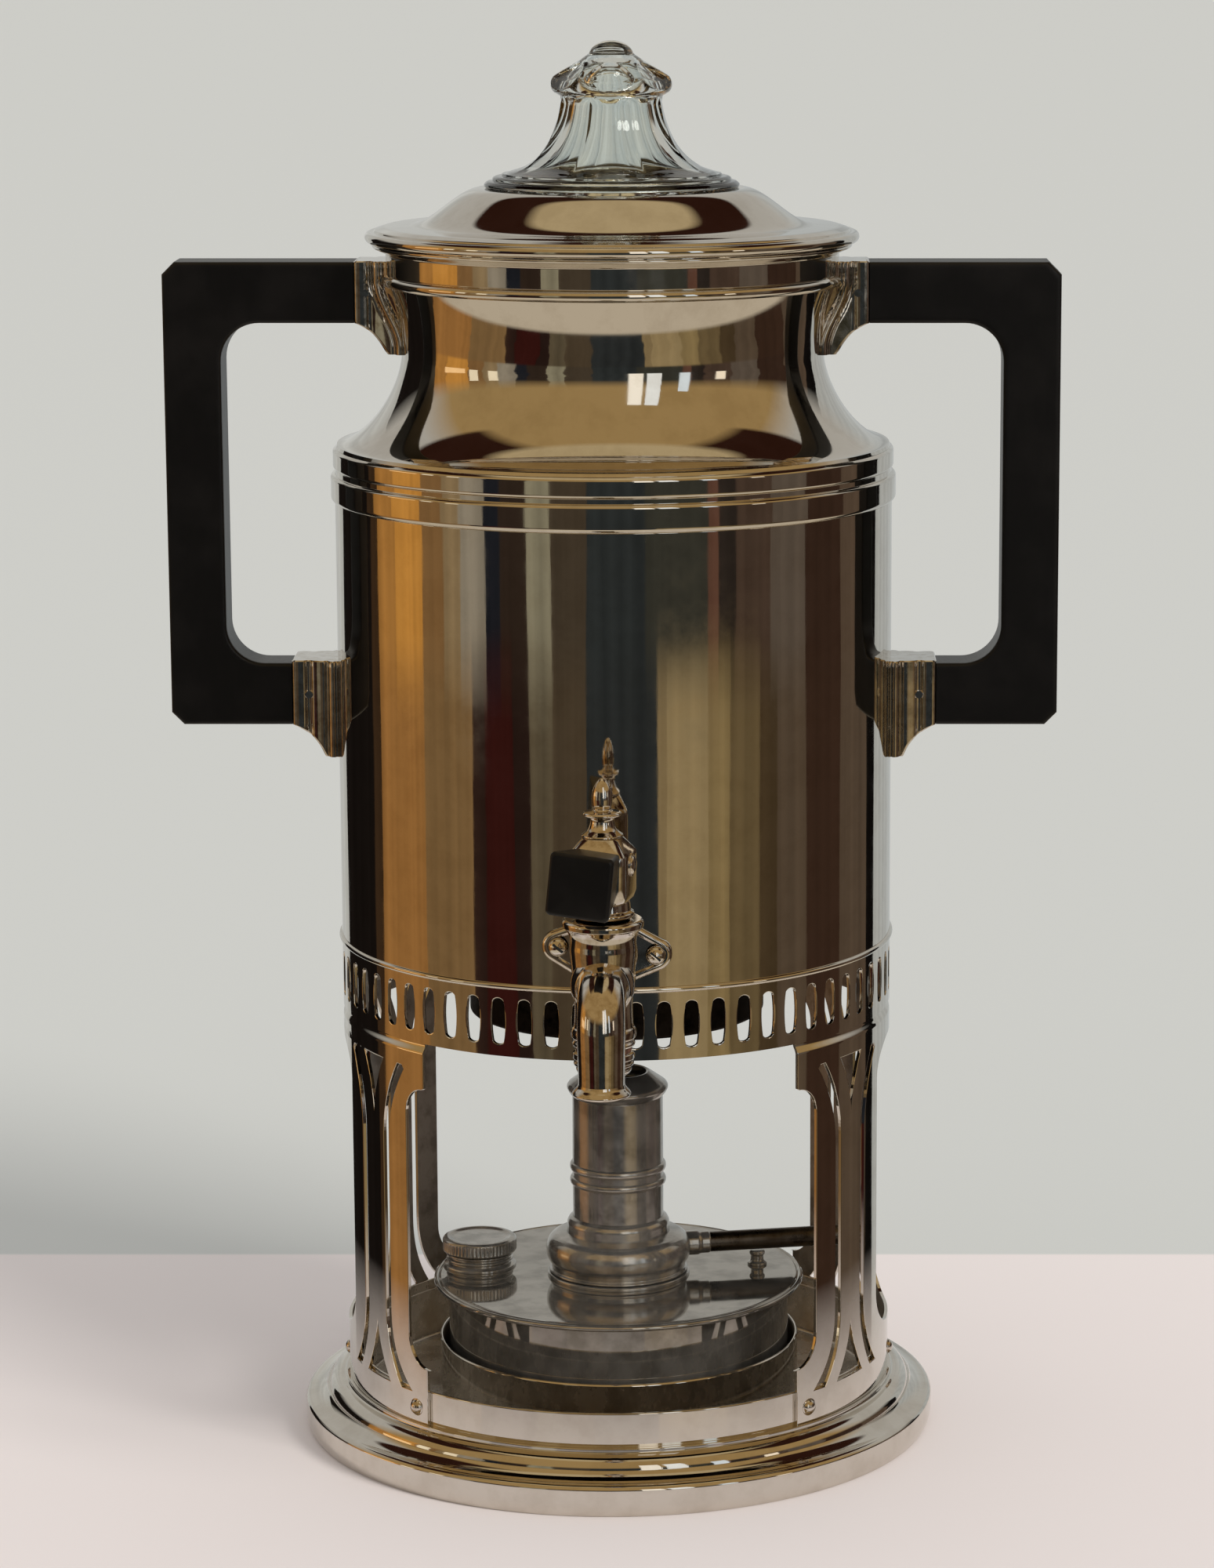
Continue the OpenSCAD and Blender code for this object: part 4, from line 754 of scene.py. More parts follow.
# Handle sockets
# edge: the outer face and underside, followed down; reeds: middle at the top and the foot, half width, height
upperSocket = {"edge": [(66.4, 310.9), (66.4, 303), (66.4, 296), (66, 295.2), (64.6, 294.5), (62.4, 293.1),
    (60.9, 291.6), (59.6, 289.9), (58.6, 288.3), (57.8, 287.3)], "top": 311.2, "onNeck": True,
    "reeds": [(64.5, 64.5, 1.8, 0.45), (60.4, 54.6, 1, 1.1)], "swing": (289, 306), "sides": (7.55, 9.9),
    "flare": 62.6}
lowerSocket = {"edge": [(84.2, 207.1), (84.2, 198), (84.2, 191.2), (83.8, 190.3), (82.4, 189.6),
    (80.2, 188.2), (78.4, 186.6), (77, 184.8), (76.1, 183.1), (75.6, 182.1)], "top": 207.4, "onNeck": False,
    "reeds": [(82.2, 82.2, 1.9, 0.5), (77.2, 77.2, 1.8, 0.45), (73.6, 73.6, 0.9, 0.8)], "swing": (180, 207),
    "sides": (7.55, 9.8), "flare": 80.5}


# Half the depth at x is side + flare, plus a half-round reed: height * sqrt(1 - ((x - middle) / width)^2)
def socketShape(look, columns=110, arris=0.9):
    edge = through(look["edge"], 6)[:, :2]
    z = np.concatenate([[look["top"]], edge[:, 1]])[:, None]
    outer = np.concatenate([[look["edge"][0][0] - 0.3], edge[:, 0]])[:, None]
    wall = vesselRadius + 0 * z
    if look["onNeck"]:
        wall = np.where(z > neckLine["top"][1], rimRadius, np.interp(z, neckOuter[:, 1], neckOuter[:, 0]))
    thin, wide = look["sides"]
    inner = np.sqrt(wall ** 2 - wide ** 2) - 0.5
    p = np.linspace(0, 1, columns)[None]
    p = np.where(p < 0.15, p * p / 0.3, 0.075 + (p - 0.15) * 0.925 / 0.85)
    x = outer + (inner - outer) * p
    low, high = look["swing"]
    sway = eased(np.clip((z - low) / (high - low), 0, 1))
    side = thin + (wide - thin) * np.clip((look["flare"] - x) / (look["flare"] - inner), 0, 1) ** 1.5
    for topX, lowX, half, up in look["reeds"]:
        off = (x - lowX - (topX - lowX) * sway) / half
        groove = 0.3 * np.exp(-(np.abs(off) - 1.5) ** 2 / 0.12)
        side = side + up * (np.sqrt(np.clip(1 - off ** 2, 0, 1)) - groove)
    corner = np.clip(1 - (outer - x) / arris, 0, 1)
    side = side - arris * (1 - np.sqrt(1 - corner ** 2))
    side[0] -= 0.3
    grid = np.concatenate([np.stack([x, -side, z + 0 * x], -1),
        np.stack([x, side, z + 0 * x], -1)[:, ::-1]], 1)
    flatTop, flatFoot = grid[:1] * [1, 0, 1], grid[-1:] * [1, 0, 1]
    return surface(np.concatenate([flatTop, grid, flatFoot]), False, True)


for name, look, node in (("upperSocket", upperSocket, "socket_top"),
        ("lowerSocket", lowerSocket, "socket_bottom")):
    addPiece(name + "Right", socketShape(look), "urn", castNickel, node + "_right", crisp=40)
    addPiece(name + "Left", mirrored(socketShape(look)), "urn", castNickel, node + "_left", crisp=40)
print("handles made")

# Tap
tapAxis = (0, -100)
tapLevel = 144.7
shankStart = -98
leverYaw = -12
barrel = {"turns": 96, "solid": True, "outline": [
    (0, -17.4, 0), (7.5, -17.4, 0.3), (7.8, -16.7, 0.3), (7.3, -15.9, 0.2), (7.9, -15.2, 0.3),
    (8.05, -13.8, 0.4), (7.7, -12.9, 0.2), (7.45, -12.6, 0.1), through([(7.3, -12.2), (7.15, -8), (7.3, -3),
    (7.9, 2.5), (8.2, 6.2), (8.1, 8.6), (8.5, 10.6), (9.5, 12)], 5), (9.9, 12.4, 0.1), (10, 13.6, 0.5),
    (9.4, 14.3, 0.3), (0, 14.3, 0)]}
spout = {"out": 7.5, "bend": 9, "drop": 1.5, "down": 14.6, "radius": 5.9, "root": 1.9, "rootTo": 9,
    "taper": 0.25, "taperFrom": 26}


# The spout is a tube along a line out, a quarter turn and a line down; its root swells into the barrel
def spoutShape():
    s = spout
    turn = np.linspace(0, math.pi / 2, 25)
    out = np.linspace(-4, s["out"], 14)[:-1]
    down = np.linspace(0, s["down"], 12)[1:]
    y = np.concatenate([out, s["out"] + s["bend"] * np.sin(turn), 0 * down + s["out"] + s["bend"]])
    z = np.concatenate([0 * out, s["bend"] * (np.cos(turn) - 1), -s["bend"] - down]) - s["drop"]
    path = np.stack([0 * y, tapAxis[1] - y, tapLevel + z], 1)
    run = np.concatenate([[0], np.cumsum(np.linalg.norm(np.diff(path, axis=0), axis=1))])
    swell = s["root"] * np.exp(-np.maximum(run - s["rootTo"], 0) / 2.2)
    radius = s["radius"] + swell - s["taper"] * np.clip((run - s["taperFrom"]) / 10, 0, 1)
    return tube(path, radius, 56)


spoutFoot = (0, tapAxis[1] - spout["out"] - spout["bend"])
lip = {"turns": 72, "outline": [
    (3.8, -14, 0.1), (3.8, -26, 0.3), (6.6, -26, 0.4), (7.2, -25.3, 0.3), (6.7, -24.5, 0.3),
    (5.9, -23.7, 0.3), (5.6, -22.8, 0), (5, -22.8, 0), (5, -14, 0)]}
shank = {"turns": 64, "solid": True, "outline": [
    (0, 0, 0), (6, 0, 0), (6, 21.1, 0.3), (7.8, 21.1, 0.3), (7.8, 23.3, 0.3), (6, 23.3, 0.2), (6, 34.5, 0),
    (0, 34.5, 0)]}
# The shank is spun upright and laid on its side, so that it runs from the plug into the wall
shankPoints, shankFaces = spun(**shank)
laidShank = shankPoints[:, [0, 2, 1]] + [0, shankStart, tapLevel]
tapBody = joined([spun(centre=tapAxis, lift=tapLevel, **barrel), spoutShape(),
    spun(centre=spoutFoot, lift=tapLevel, **lip), (laidShank, shankFaces)])
addPiece("tapBody", tapBody, "urn", castNickel, "tap_body")

# Flange: an oval plate with two round ears, a raised rounded border and a slight twist, bent on the vessel
flange = {"pitch": 24.4, "ear": 4.1, "middle": 12.6, "offset": 3.4, "tilt": 5}


def flangeShape():
    f = flange
    half = f["pitch"] / 2
    line = np.concatenate([arcPoints(half, 0, f["ear"], f["ear"], -70, 70, 16),
        arcPoints(0, -f["offset"], f["middle"], f["middle"], 56, 124, 16),
        arcPoints(-half, 0, f["ear"], f["ear"], 110, 250, 16),
        arcPoints(0, f["offset"], f["middle"], f["middle"], 236, 304, 16)])
    ahead = np.roll(line, -1, 0) - np.roll(line, 1, 0)
    out = np.stack([ahead[:, 1], -ahead[:, 0]], 1) / np.linalg.norm(ahead, axis=1)[:, None]
    spine = np.stack([np.clip(line[:, 0], -half, half), 0 * line[:, 0]], 1)
    rows = [(-0.05, -0.4), (0, 0.2), (0, 1.3), (0.2, 1.8), (0.6, 2.1), (1, 2.2), (1.5, 2.1), (1.8, 1.8),
        (2, 1.55), (2.3, 1.5)]
    flat = np.stack([line - out * inset for inset, _ in rows] + [spine])
    height = np.array([height for _, height in rows] + [1.5])[:, None]
    tilt = math.radians(f["tilt"])
    x = flat[..., 0] * math.cos(tilt) + flat[..., 1] * math.sin(tilt)
    z = -flat[..., 0] * math.sin(tilt) + flat[..., 1] * math.cos(tilt)
    grid = np.stack([x, -np.sqrt((vesselRadius + height) ** 2 - x ** 2), tapLevel + z], -1)
    return surface(grid, False, True)


addPiece("tapFlange", flangeShape(), "urn", castNickel, "tap_flange")


# Loops of a four-sided section with rounded corners; each row gives place, half width, half height, radius
def boxGrid(rows, steps=5):
    rows = np.asarray(rows, float)
    turn = np.radians(np.concatenate([np.linspace(q * 90, q * 90 + 90, steps + 1) for q in range(4)]))
    signX = np.repeat([1, -1, -1, 1], steps + 1)
    signZ = np.repeat([1, 1, -1, -1], steps + 1)
    place, a, b, r = rows[:, :1], rows[:, 1:2], rows[:, 2:3], rows[:, 3:4]
    u = signX * (a - r) + r * np.cos(turn)
    v = signZ * (b - r) + r * np.sin(turn)
    return closedEnds(np.stack([u, v, place + 0 * u], -1))


# What turns with the lever is drawn at the origin, then set on the plug's axis at the lever's angle
def atPlug(shape):
    return turned(shape, leverYaw, tapAxis)


plugCollar = {"turns": 72, "solid": True, "outline": [
    (0, 14.6, 0), (6.9, 14.6, 0.2), (7.7, 15.2, 0.4), (7.7, 16, 0.4), (6.8, 16.6, 0.2), (6.6, 18.8, 0.2),
    (3.6, 18.8, 0), (3.6, 35, 0), (0, 35, 0)]}
tailNut = {"turns": 64, "outline": [
    (3, -24.7, 0), (5.6, -24.7, 0.3), (6.6, -23.9, 0.4), (6.9, -23.1, 0.4), (6.3, -22.7, 0.2),
    (7.4, -22.1, 0.3), (7.4, -21.5, 0.3), (6.6, -21.1, 0.2), (7.6, -20.5, 0.3), (7.6, -19.1, 0.3),
    (6.9, -18.7, 0.2), (3, -18.7, 0)]}
finial = {"turns": 64, "solid": True, "outline": [
    (0, 34.6, 0), (5.1, 34.6, 0.2), (5.1, 35.1, 0.3), through([(4.5, 35.5), (3.5, 36.4), (3, 37.8),
    (2.9, 38.8), (3.3, 39.5)], 5), (4.5, 39.8, 0.2), (4.75, 40.2, 0.25), (4.4, 40.7, 0.2), (2.4, 41, 0.2),
    (2.1, 41.5, 0.2), (2.3, 42, 0.2), through([(2.45, 42.4), (2.55, 44), (2.3, 46), (1.5, 47.8), (0.6, 48.8),
    (0, 49)], 5)]}
for name, node, look in (("plugCollar", "tap_plug", plugCollar), ("tailNut", "tail_nut", tailNut),
        ("tapFinial", "tap_finial", finial)):
    addPiece(name, atPlug(spun(lift=tapLevel, **look)), "tap_key", castNickel, node)

# The hub is a square boss that narrows to the finial like a hipped roof, with a pin's head on one side
hub = {"rows": [(18.8, 6.2, 6.4, 2.5), (19.3, 6.8, 6.9, 2.5), (20.2, 7.1, 7.1, 2.4), (21, 7.3, 7.3, 2.2),
    (29.6, 7.3, 7.3, 1.9), (30.8, 7.2, 7.2, 1.9), (31.6, 6.7, 6.7, 2), (34.2, 4.9, 4.9, 2.6),
    (34.6, 4.5, 4.5, 2.6)], "place": (0, -0.7, tapLevel), "pinPlace": (7.2, -0.2, tapLevel + 28)}
pin = {"turns": 40, "solid": True, "outline": [
    (0, 0, 0), (2.9, 0, 0.1), (2.9, 0.5, 0.3), bow(0, 0.2, 2.5, 1.1, 12, 90, 8)]}
hubPoints, hubFaces = surface(boxGrid(hub["rows"]), False, True)
pinPoints, pinFaces = spun(**pin)
hubShape = joined([(hubPoints + hub["place"], hubFaces),
    (pinPoints[:, [2, 0, 1]] + hub["pinPlace"], pinFaces)])
addPiece("leverHub", atPlug(hubShape), "tap_key", castNickel, "lever_socket")

# The black block grows from the hub to its tip, with rounded arrises, and leans by its roll
block = {"level": 26.7, "roll": 6, "rows": [(6, 5.4, 5.4, 0.8), (8, 5.75, 5.75, 0.9), (22, 7.75, 7.75, 1.1),
    (22.6, 7.82, 7.82, 1.2), (23.1, 7.68, 7.68, 1.2), (23.4, 7.35, 7.35, 1.1), (23.5, 6.9, 6.9, 1)]}


def blockShape():
    roll, grid = math.radians(block["roll"]), boxGrid(block["rows"])
    x, z, out = grid[..., 0], grid[..., 1], grid[..., 2]
    across, up = x * math.cos(roll) + z * math.sin(roll), z * math.cos(roll) - x * math.sin(roll)
    return surface(np.stack([across, -out, tapLevel + block["level"] + up], -1), False, True)


addPiece("leverBlock", atPlug(blockShape()), "tap_key", ebony, "lever_block")
print("tap made")

# Spirit burner
burnerDrum = {"turns": 256, "solid": True, "outline": [
    (0, 7.5, 0), (44.1, 7.5, 1), (45.6, 9, 0.6), (45.6, 38.6, 0.1), (44.8, 38.6, 0.1), (44.8, 9.3, 0.6),
    (43.8, 8.3, 0.6), (0, 8.3, 0)]}
addSpun("burnerDrum", "burner_drum", "burner", tankNickel, **burnerDrum)
burnerTopPlate = {"turns": 320, "outline": [
    (8, 38.6, 0), (48.1, 38.6, 0.1), bow(48.85, 38.65, 0.75, 0.75, -150, 140, 12), (47.9, 39.45, 0.2),
    (47.2, 39.4, 0.3), (8, 39.4, 0)]}
addSpun("burnerTopPlate", "burner_plate", "burner", tankNickel, **burnerTopPlate)
burnerSleeve = {"turns": 160, "outline": [
    (11.3, 39.4, 0), (19.1, 39.4, 0.1), (19.1, 40.1, 0.2), (18.8, 40.4, 0.1), (13.7, 40.4, 0),
    (13.7, 54.1, 0.5), (13.1, 55.1, 0.3), (12.15, 55.7, 0.1), (12.15, 48.4, 0), (11.3, 48.4, 0)]}
addSpun("burnerSleeve", "burner_sleeve", "burner", burnerNickel, **burnerSleeve)
chimneyTube = {"turns": 160, "outline": [
    (12.1, 48.4, 0), bow(12.1, 65.5, 0.8, 1.1, -85, 85, 10), bow(12.1, 69.3, 0.8, 1.2, -85, 85, 10),
    (12.1, 88.7, 0.2), (11.3, 88.7, 0), (11.3, 48.4, 0)]}
addSpun("chimneyTube", "chimney", "burner", burnerNickel, **chimneyTube)
chimneyCap = {"turns": 160, "outline": [
    (11.3, 88.7, 0), (12.1, 88.7, 0.1), (12.9, 89.6, 0.4), (13.5, 90.7, 0.6), (13.55, 91.4, 0.4),
    (13.1, 92.1, 0.8), (9.4, 94.7, 0.8), (8.4, 95.3, 0.4), (7.6, 95.1, 0.3), (12, 91.7, 0.3),
    (11.8, 90.7, 0.3), (10.7, 89.6, 0.2)]}
addSpun("chimneyCap", "chimney_cap", "burner", burnerNickel, **chimneyCap)
wickTube = {"turns": 96, "outline": [(7, 25.4, 0), (8, 25.4, 0), (8, 86.7, 0.2), (7, 86.7, 0.2)]}
addSpun("wickTube", "wick_tube", "burner", burnerNickel, **wickTube)
cottonWick = {"turns": 96, "solid": True, "outline": [
    (0, 10.5, 0), (7, 10.5, 0.4), (7, 89.2, 0.9), (4, 89.7, 0.6), (0, 89.3, 0)]}
addSpun("cottonWick", "wick", "burner", wickCotton, **cottonWick)

fillerAt = (-37.8, 7)
thread = {"low": 41, "pitch": 1.4, "rings": 3, "root": 8.3, "crest": 9}
root, crest = thread["root"], thread["crest"]
threads = [(root, 40.6, 0.15)]
for z in thread["low"] + thread["pitch"] * np.arange(thread["rings"]):
    threads += [(root, z, 0.1), (crest, z + 0.3, 0.15), (crest, z + 0.75, 0.15), (root, z + 1.05, 0.1)]
fillerNeck = {"turns": 96, "centre": fillerAt, "outline": [
    (7, 39.4, 0), (9.8, 39.4, 0.1), (9.8, 40.1, 0.3), *threads, (root, 45.3, 0.1), (7, 45.3, 0.1)]}
addSpun("fillerNeck", "filler_neck", "burner", burnerNickel, **fillerNeck)
fillerGasket = {"turns": 96, "centre": fillerAt, "solid": True, "outline": [
    (0, 45.6, 0), (8.4, 45.6, 0.15), (8.4, 46.4, 0.15), (0, 46.4, 0)]}
addSpun("fillerGasket", "filler_gasket", "filler_seal", fibre, **fillerGasket)

# Filler cap
fillerCap = {"turns": 480, "grips": 60, "gripDepth": 0.14, "gripFrom": 44, "gripTo": 46.9}


# The rim is knurled with a fine cosine ripple, the top is dished inside a rolled edge
def fillerCapShape():
    profile = rounded([(0, 46.6, 0), (9.05, 46.6, 0.1), (9.05, 43.7, 0.05), (9.8, 43.7, 0.15), (10, 44.1, 0.15),
        (10, 46.8, 0.3), (9.5, 47.45, 0.3), (8.4, 47.6, 0.3), (7.7, 47.3, 0.3), (7.2, 47.15, 0.3),
        (0, 47.15, 0)], closed=False, steps=4)
    c, angle, r, z = fillerCap, fullTurn(fillerCap["turns"])[None], profile[:, :1], profile[:, 1:2]
    grip = (r > 9.7) * np.clip((z - c["gripFrom"]) / 0.3, 0, 1) * np.clip((c["gripTo"] - z) / 0.4, 0, 1)
    r = r - c["gripDepth"] * grip * (0.5 - 0.5 * np.cos(c["grips"] * angle))
    x, y = fillerAt
    return surface(np.stack([x + r * np.sin(angle), y - r * np.cos(angle), z + 0 * angle], -1), False, True)


addPiece("fillerCap", fillerCapShape(), "filler_lid", burnerNickel, "filler_cap")

# Regulator: a ring bellied at the top on the sleeve, a short boss, and a rod that a peg holds up
regulatorRing = {"turns": 192, "outline": [
    (13.75, 40.7, 0), (18.5, 40.7, 0.15), (18.5, 41.1, 0.15), (17.9, 41.6, 0.2),
    bow(16.6, 46.4, 2.8, 4.1, -58, 76, 22), (16.8, 50.6, 0.2), (15.25, 50.9, 0.3), (13.75, 51.2, 0)]}
lever = {"back": 11, "level": 46.4, "start": 19.9, "peg": 38}


# A solid spun on an axis that points along the lever, at the lever's level and angle
def alongLever(profile, turns=48):
    points, faces = spun(profile, turns, solid=True)
    return turned((points[:, [2, 0, 1]] + [0, 0, lever["level"]], faces), lever["back"])


bossLine = [(0, 15.4, 0), (3, 15.4, 0.3), (3.3, 19.2, 0.5), (3.3, 21.6, 0.6), (2.95, 22.4, 0.5),
    (2.95, 24.6, 0.3), (2.7, 24.9, 0.1), (0, 24.9, 0)]
addPiece("regulatorRing", joined([spun(**regulatorRing), alongLever(bossLine)]), "regulator", burnerNickel,
    "regulator_ring")
rodLine = [(0, lever["start"], 0), (2.7, lever["start"], 0), (2.7, 66.4, 0.5), (1.9, 68, 0.5), (0, 68, 0)]
addPiece("leverRod", alongLever(rodLine), "regulator", rodSteel, "lever_rod")
leverTurn = math.radians(lever["back"])
pegAt = (lever["peg"] * math.cos(leverTurn), lever["peg"] * math.sin(leverTurn))
restPeg = {"turns": 48, "centre": pegAt, "solid": True, "outline": [
    (0, 39.4, 0), (2.6, 39.4, 0.1), (2.6, 40, 0.2), (1.75, 40.6, 0.4), (1.7, 42, 0.3), (2.1, 42.4, 0.2),
    (2.1, 43.1, 0.2), (1.8, 43.4, 0.1), (0, 43.4, 0)]}
addSpun("restPeg", "rest_peg", "burner", burnerNickel, **restPeg)
print("burner made")

# Every node that isn't replaced gets its real finish
for part in frame["record"]["subparts"]:
    materials = frame["nodes"][part["node"]].data.materials
    materials.clear()
    materials.append(castNickel if part["node"] == "handle_pins" else slots[part["material_slot"]][0])
print("nodes finished")

# Floor, light and room
stage = {"halfSize": 30, "floor": "EBE2DF", "wall": "CFD0CC", "wallLine": 148, "mirrorFrom": 0.1,
    "mirrorTo": 0.22, "even": 0.66}


# The pale floor turns to the wall's grey behind the urn; metal sees the table top only near the urn, and the
# room beyond it
def paperFloor(tree, place):
    across = addNode(tree, "SeparateXYZ", {"Vector": place})
    behind = addNode(tree, "MapRange", {"Value": across["Y"], "From Min": (stage["wallLine"] - 1) * mm,
        "From Max": (stage["wallLine"] + 1) * mm})
    colour = addNode(tree, "Mix", {"data_type": "RGBA", 0: behind[0], 6: hexColour(stage["floor"]),
        7: hexColour(stage["wall"])})
    far = addNode(tree, "VectorMath", {"operation": "LENGTH", 0: place})
    beyond = addNode(tree, "MapRange", {"Value": far["Value"], "From Min": stage["mirrorFrom"],
        "From Max": stage["mirrorTo"]})
    rays = addNode(tree, "LightPath")
    hidden = addNode(tree, "Math", {"operation": "MULTIPLY", 0: beyond[0], 1: rays["Is Glossy Ray"]})
    shown = addNode(tree, "Math", {"operation": "SUBTRACT", 0: 1, 1: hidden[0]})
    return {"Roughness": 0.9, "Specular IOR Level": 0.2, "Base Color": colour[2], "Alpha": shown[0]}


half = stage["halfSize"]
floorMesh = bpy.data.meshes.new("floor")
floorMesh.from_pydata([(-half, -half, 0), (half, -half, 0), (half, half, 0), (-half, half, 0)], [],
    [(0, 1, 2, 3)])
floorMesh.materials.append(newMaterial("paperFloor", paperFloor))
addObject("floor", floorMesh)

# The room that polished metal mirrors. Walls and furniture are bands that start at an angle from the
# camera's side, clockwise from above: wall, dark doorway, oak door, plaster, shelves, curtain, dresser, wall
wallBands = {-180: "B2B3B0", -149: "15110F", -117: "3A2A1C", -112: "A4743B", -101: "C08840", -84: "7E5F3C",
    -73: "8A7658", -64: "8A8274", -53: "1D1F25", -45: "30261F", -35: "827D6A", -24: "443B30", -10: "2C3031",
    14: "35352F", 39: "5E4236", 45: "2B2521", 52: "46382F", 68: "5A5047", 87: "35261E", 107: "54463A",
    128: "0F0D0C", 138: "A9ACAB"}
lowBands = {-180: "B2B3B0", -149: "15110F", -117: "3A2A1C", -112: "94693A", -84: "7A603F", -60: "2C1E19",
    -54: "351613", -40: "271B17", -35: "554C3C", -24: "4A3F31", -10: "2A2D2E", 17: "7F6E50", 22: "93815F",
    39: "84724F", 50: "66573D", 62: "453827", 72: "54473A", 87: "38281F", 107: "53463A", 128: "0F0D0C",
    138: "A9ACAB"}
# Windows and lamps: middle angle, half width, lowest and highest look, colour
windows = [(-93, 8, -0.06, 0.08, "FFD196"), (14, 4, -0.06, 0.62, "FFF9EE"), (24, 4, -0.06, 0.62, "EEF2F4"),
    (41, 3, -0.06, 0.42, "DCE8F2"), (62, 3, -0.04, 0.20, "FFF1DC"), (-66, 3, -0.04, 0.22, "F2E4C8"),
    (-79, 3, -0.04, 0.22, "F2E4C8")]
room = {"split": -0.164, "blur": 0.008, "wander": 0.022, "wanderSize": 5, "streakSize": 55,
    "streaks": (0.74, 1.2), "floor": "B9AE9C", "floorTop": (-0.46, -0.49), "strength": 1.25,
    "coving": (0.2, 0.36), "turn": (-0.45, -0.12), "back": "ABA9A4", "front": "9A8055", "beam": "2B1710",
    "beamFrom": (0.715, 0.74), "beamBack": (-0.12, 0.02), "ceiling": "AE9C79", "ceilingFrom": (0.895, 0.925),
    "zenith": (0, 0.17, 0.985)}


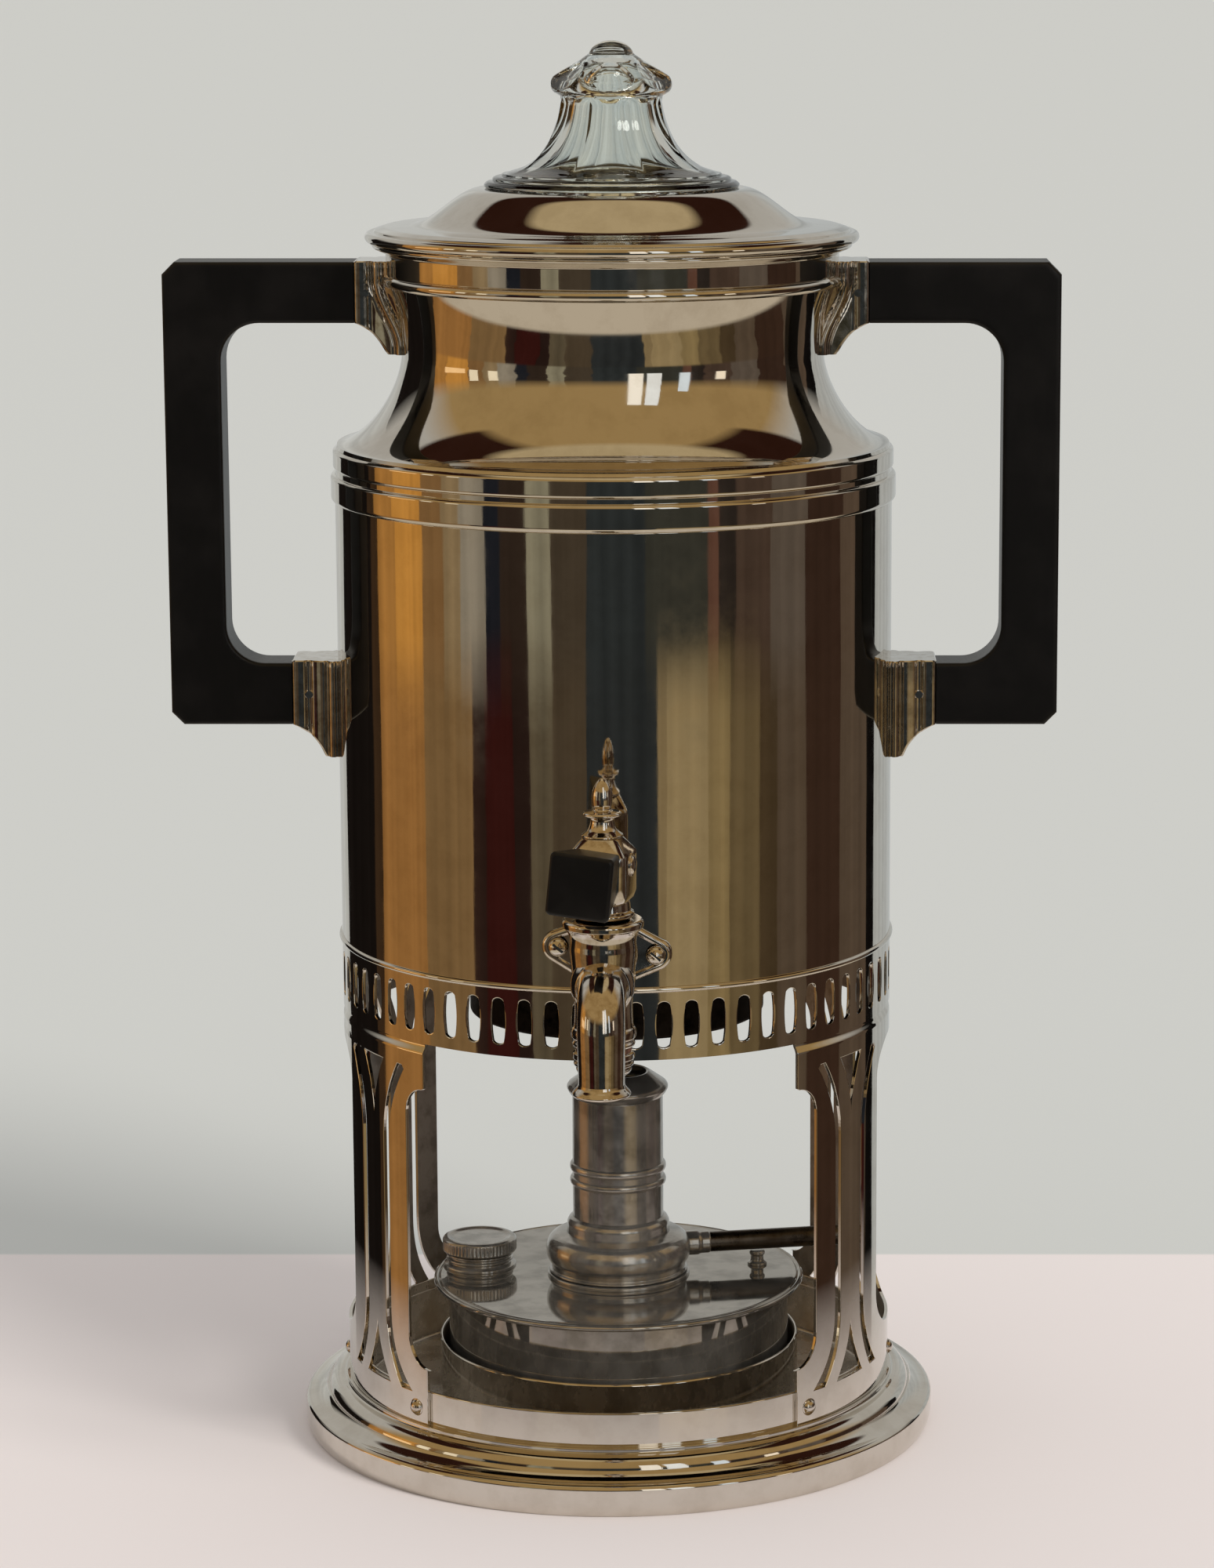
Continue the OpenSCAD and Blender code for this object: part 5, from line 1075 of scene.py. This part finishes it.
def addRoom():
    world = bpy.data.worlds.new("room")
    scene.world = world
    world.use_nodes = True
    tree = world.node_tree
    tree.nodes.clear()
    way = addNode(tree, "TexCoord")["Generated"]
    axes = addNode(tree, "SeparateXYZ", {"Vector": way})
    # share runs from 0 to 1 round the room; the outlines of furniture and walls wander a little on it
    towards = addNode(tree, "Math", {"operation": "MULTIPLY", 0: axes["Y"], 1: -1})[0]
    angle = addNode(tree, "Math", {"operation": "ARCTAN2", 0: axes["X"], 1: towards})
    share = addNode(tree, "MapRange", {"Value": angle[0], "From Min": -math.pi, "From Max": math.pi})[0]
    drift = addNode(tree, "TexNoise", {"Vector": way, "Scale": room["wanderSize"], "Detail": 3})
    shift = addNode(tree, "Math", {"operation": "MULTIPLY_ADD", 0: drift[0], 1: room["wander"],
        2: -0.5 * room["wander"]})[0]
    moved = addNode(tree, "Math", {"operation": "ADD", 0: share, 1: shift})[0]
    high = addNode(tree, "Math", {"operation": "MULTIPLY_ADD", 0: shift, 1: 3 * room["wander"],
        2: axes["Z"]})[0]
    low, walls = [addNode(tree, "ValToRGB", {"Fac": moved},
        [((degrees + 180) / 360, hexColour(code)) for degrees, code in bands.items()])[0]
        for bands in (lowBands, wallBands)]
    for band in (low, walls):
        band.node.color_ramp.interpolation = "CONSTANT"
    # fine upright streaks stand for books, curtain folds and mouldings
    spread = addNode(tree, "CombineXYZ", {"X": moved})
    streaks = addNode(tree, "TexNoise", {"Vector": spread[0], "Scale": room["streakSize"], "Detail": 6})
    least, most = room["streaks"]
    dim = addNode(tree, "MapRange", {"Value": streaks[0], "From Min": 0.3, "From Max": 0.7, "To Min": least,
        "To Max": most})[0]
    lean = addNode(tree, "VectorMath", {"operation": "DOT_PRODUCT", 0: way, 1: room["zenith"]})["Value"]
    # upwards the room is pale behind the urn and warm in front
    facing = addNode(tree, "MapRange", {"Value": towards, "From Min": room["turn"][0],
        "From Max": room["turn"][1]})
    slope = addNode(tree, "Mix", {"data_type": "RGBA", 0: facing[0], 6: hexColour(room["back"]),
        7: hexColour(room["front"])})[2]
    # each layer is a colour or another source, and the ranges that it fades in over; a dark beam rings the
    # ceiling's middle at the back
    split, blur = room["split"], room["blur"]
    layers = [(walls, [(high, split - blur, split + blur)]), (dim, []),
        (hexColour(room["floor"]), [(high, *room["floorTop"])]), (slope, [(high, *room["coving"])]),
        (hexColour(room["beam"]), [(lean, *room["beamFrom"]), (axes["Y"], *room["beamBack"])]),
        (hexColour(room["ceiling"]), [(lean, *room["ceilingFrom"])])]
    covers = [(colour, [addNode(tree, "MapRange", {"Value": value, "From Min": start, "From Max": end})[0]
        for value, start, end in ranges]) for colour, ranges in layers]
    for degrees, half, lowest, highest, code in windows:
        spans = ((share, (degrees + 180) / 360, half / 360),
            (axes["Z"], (lowest + highest) / 2, (highest - lowest) / 2))
        covers.append((hexColour(code), [addNode(tree, "Math", {"operation": "COMPARE", 0: value, 1: middle,
            2: reach})[0] for value, middle, reach in spans]))
    seen = low
    for colour, masks in covers:
        cover = masks[0] if masks else 1
        for mask in masks[1:]:
            cover = addNode(tree, "Math", {"operation": "MULTIPLY", 0: cover, 1: mask})[0]
        blend = "MULTIPLY" if colour == dim else "MIX"
        seen = addNode(tree, "Mix", {"data_type": "RGBA", "blend_type": blend, 0: cover, 6: seen,
            7: colour})[2]
    # the camera and glass see the plain wall, polished metal sees the room, and all else gets an even light
    rays = addNode(tree, "LightPath")
    shown, wall = (stage["even"], stage["even"], stage["even"], 1), hexColour(stage["wall"])
    for ray, colour in (("Is Camera Ray", wall), ("Is Transmission Ray", wall), ("Is Glossy Ray", seen)):
        shown = addNode(tree, "Mix", {"data_type": "RGBA", 0: rays[ray], 6: shown, 7: colour})[2]
    strength = addNode(tree, "MapRange", {"Value": rays["Is Glossy Ray"], "To Min": 1,
        "To Max": room["strength"]})
    light = addNode(tree, "Background", {"Color": shown, "Strength": strength[0]})
    addNode(tree, "OutputWorld", {"Surface": light[0]})


addRoom()
# Soft daylight from the right front; the mirrored windows above stand in for its glints
lamp = {"aim": (52, 0, 48), "spread": 22, "power": 1.75, "colour": (1, 0.975, 0.94)}
lampData = bpy.data.lights.new("daylight", "SUN")
lampData.angle = math.radians(lamp["spread"])
lampData.energy, lampData.color = lamp["power"], lamp["colour"]
lampObject = addObject("daylight", lampData)
lampObject.rotation_euler = [math.radians(v) for v in lamp["aim"]]
lampObject.visible_glossy = False
scene.view_settings.view_transform = "Standard"
print("stage and light set")
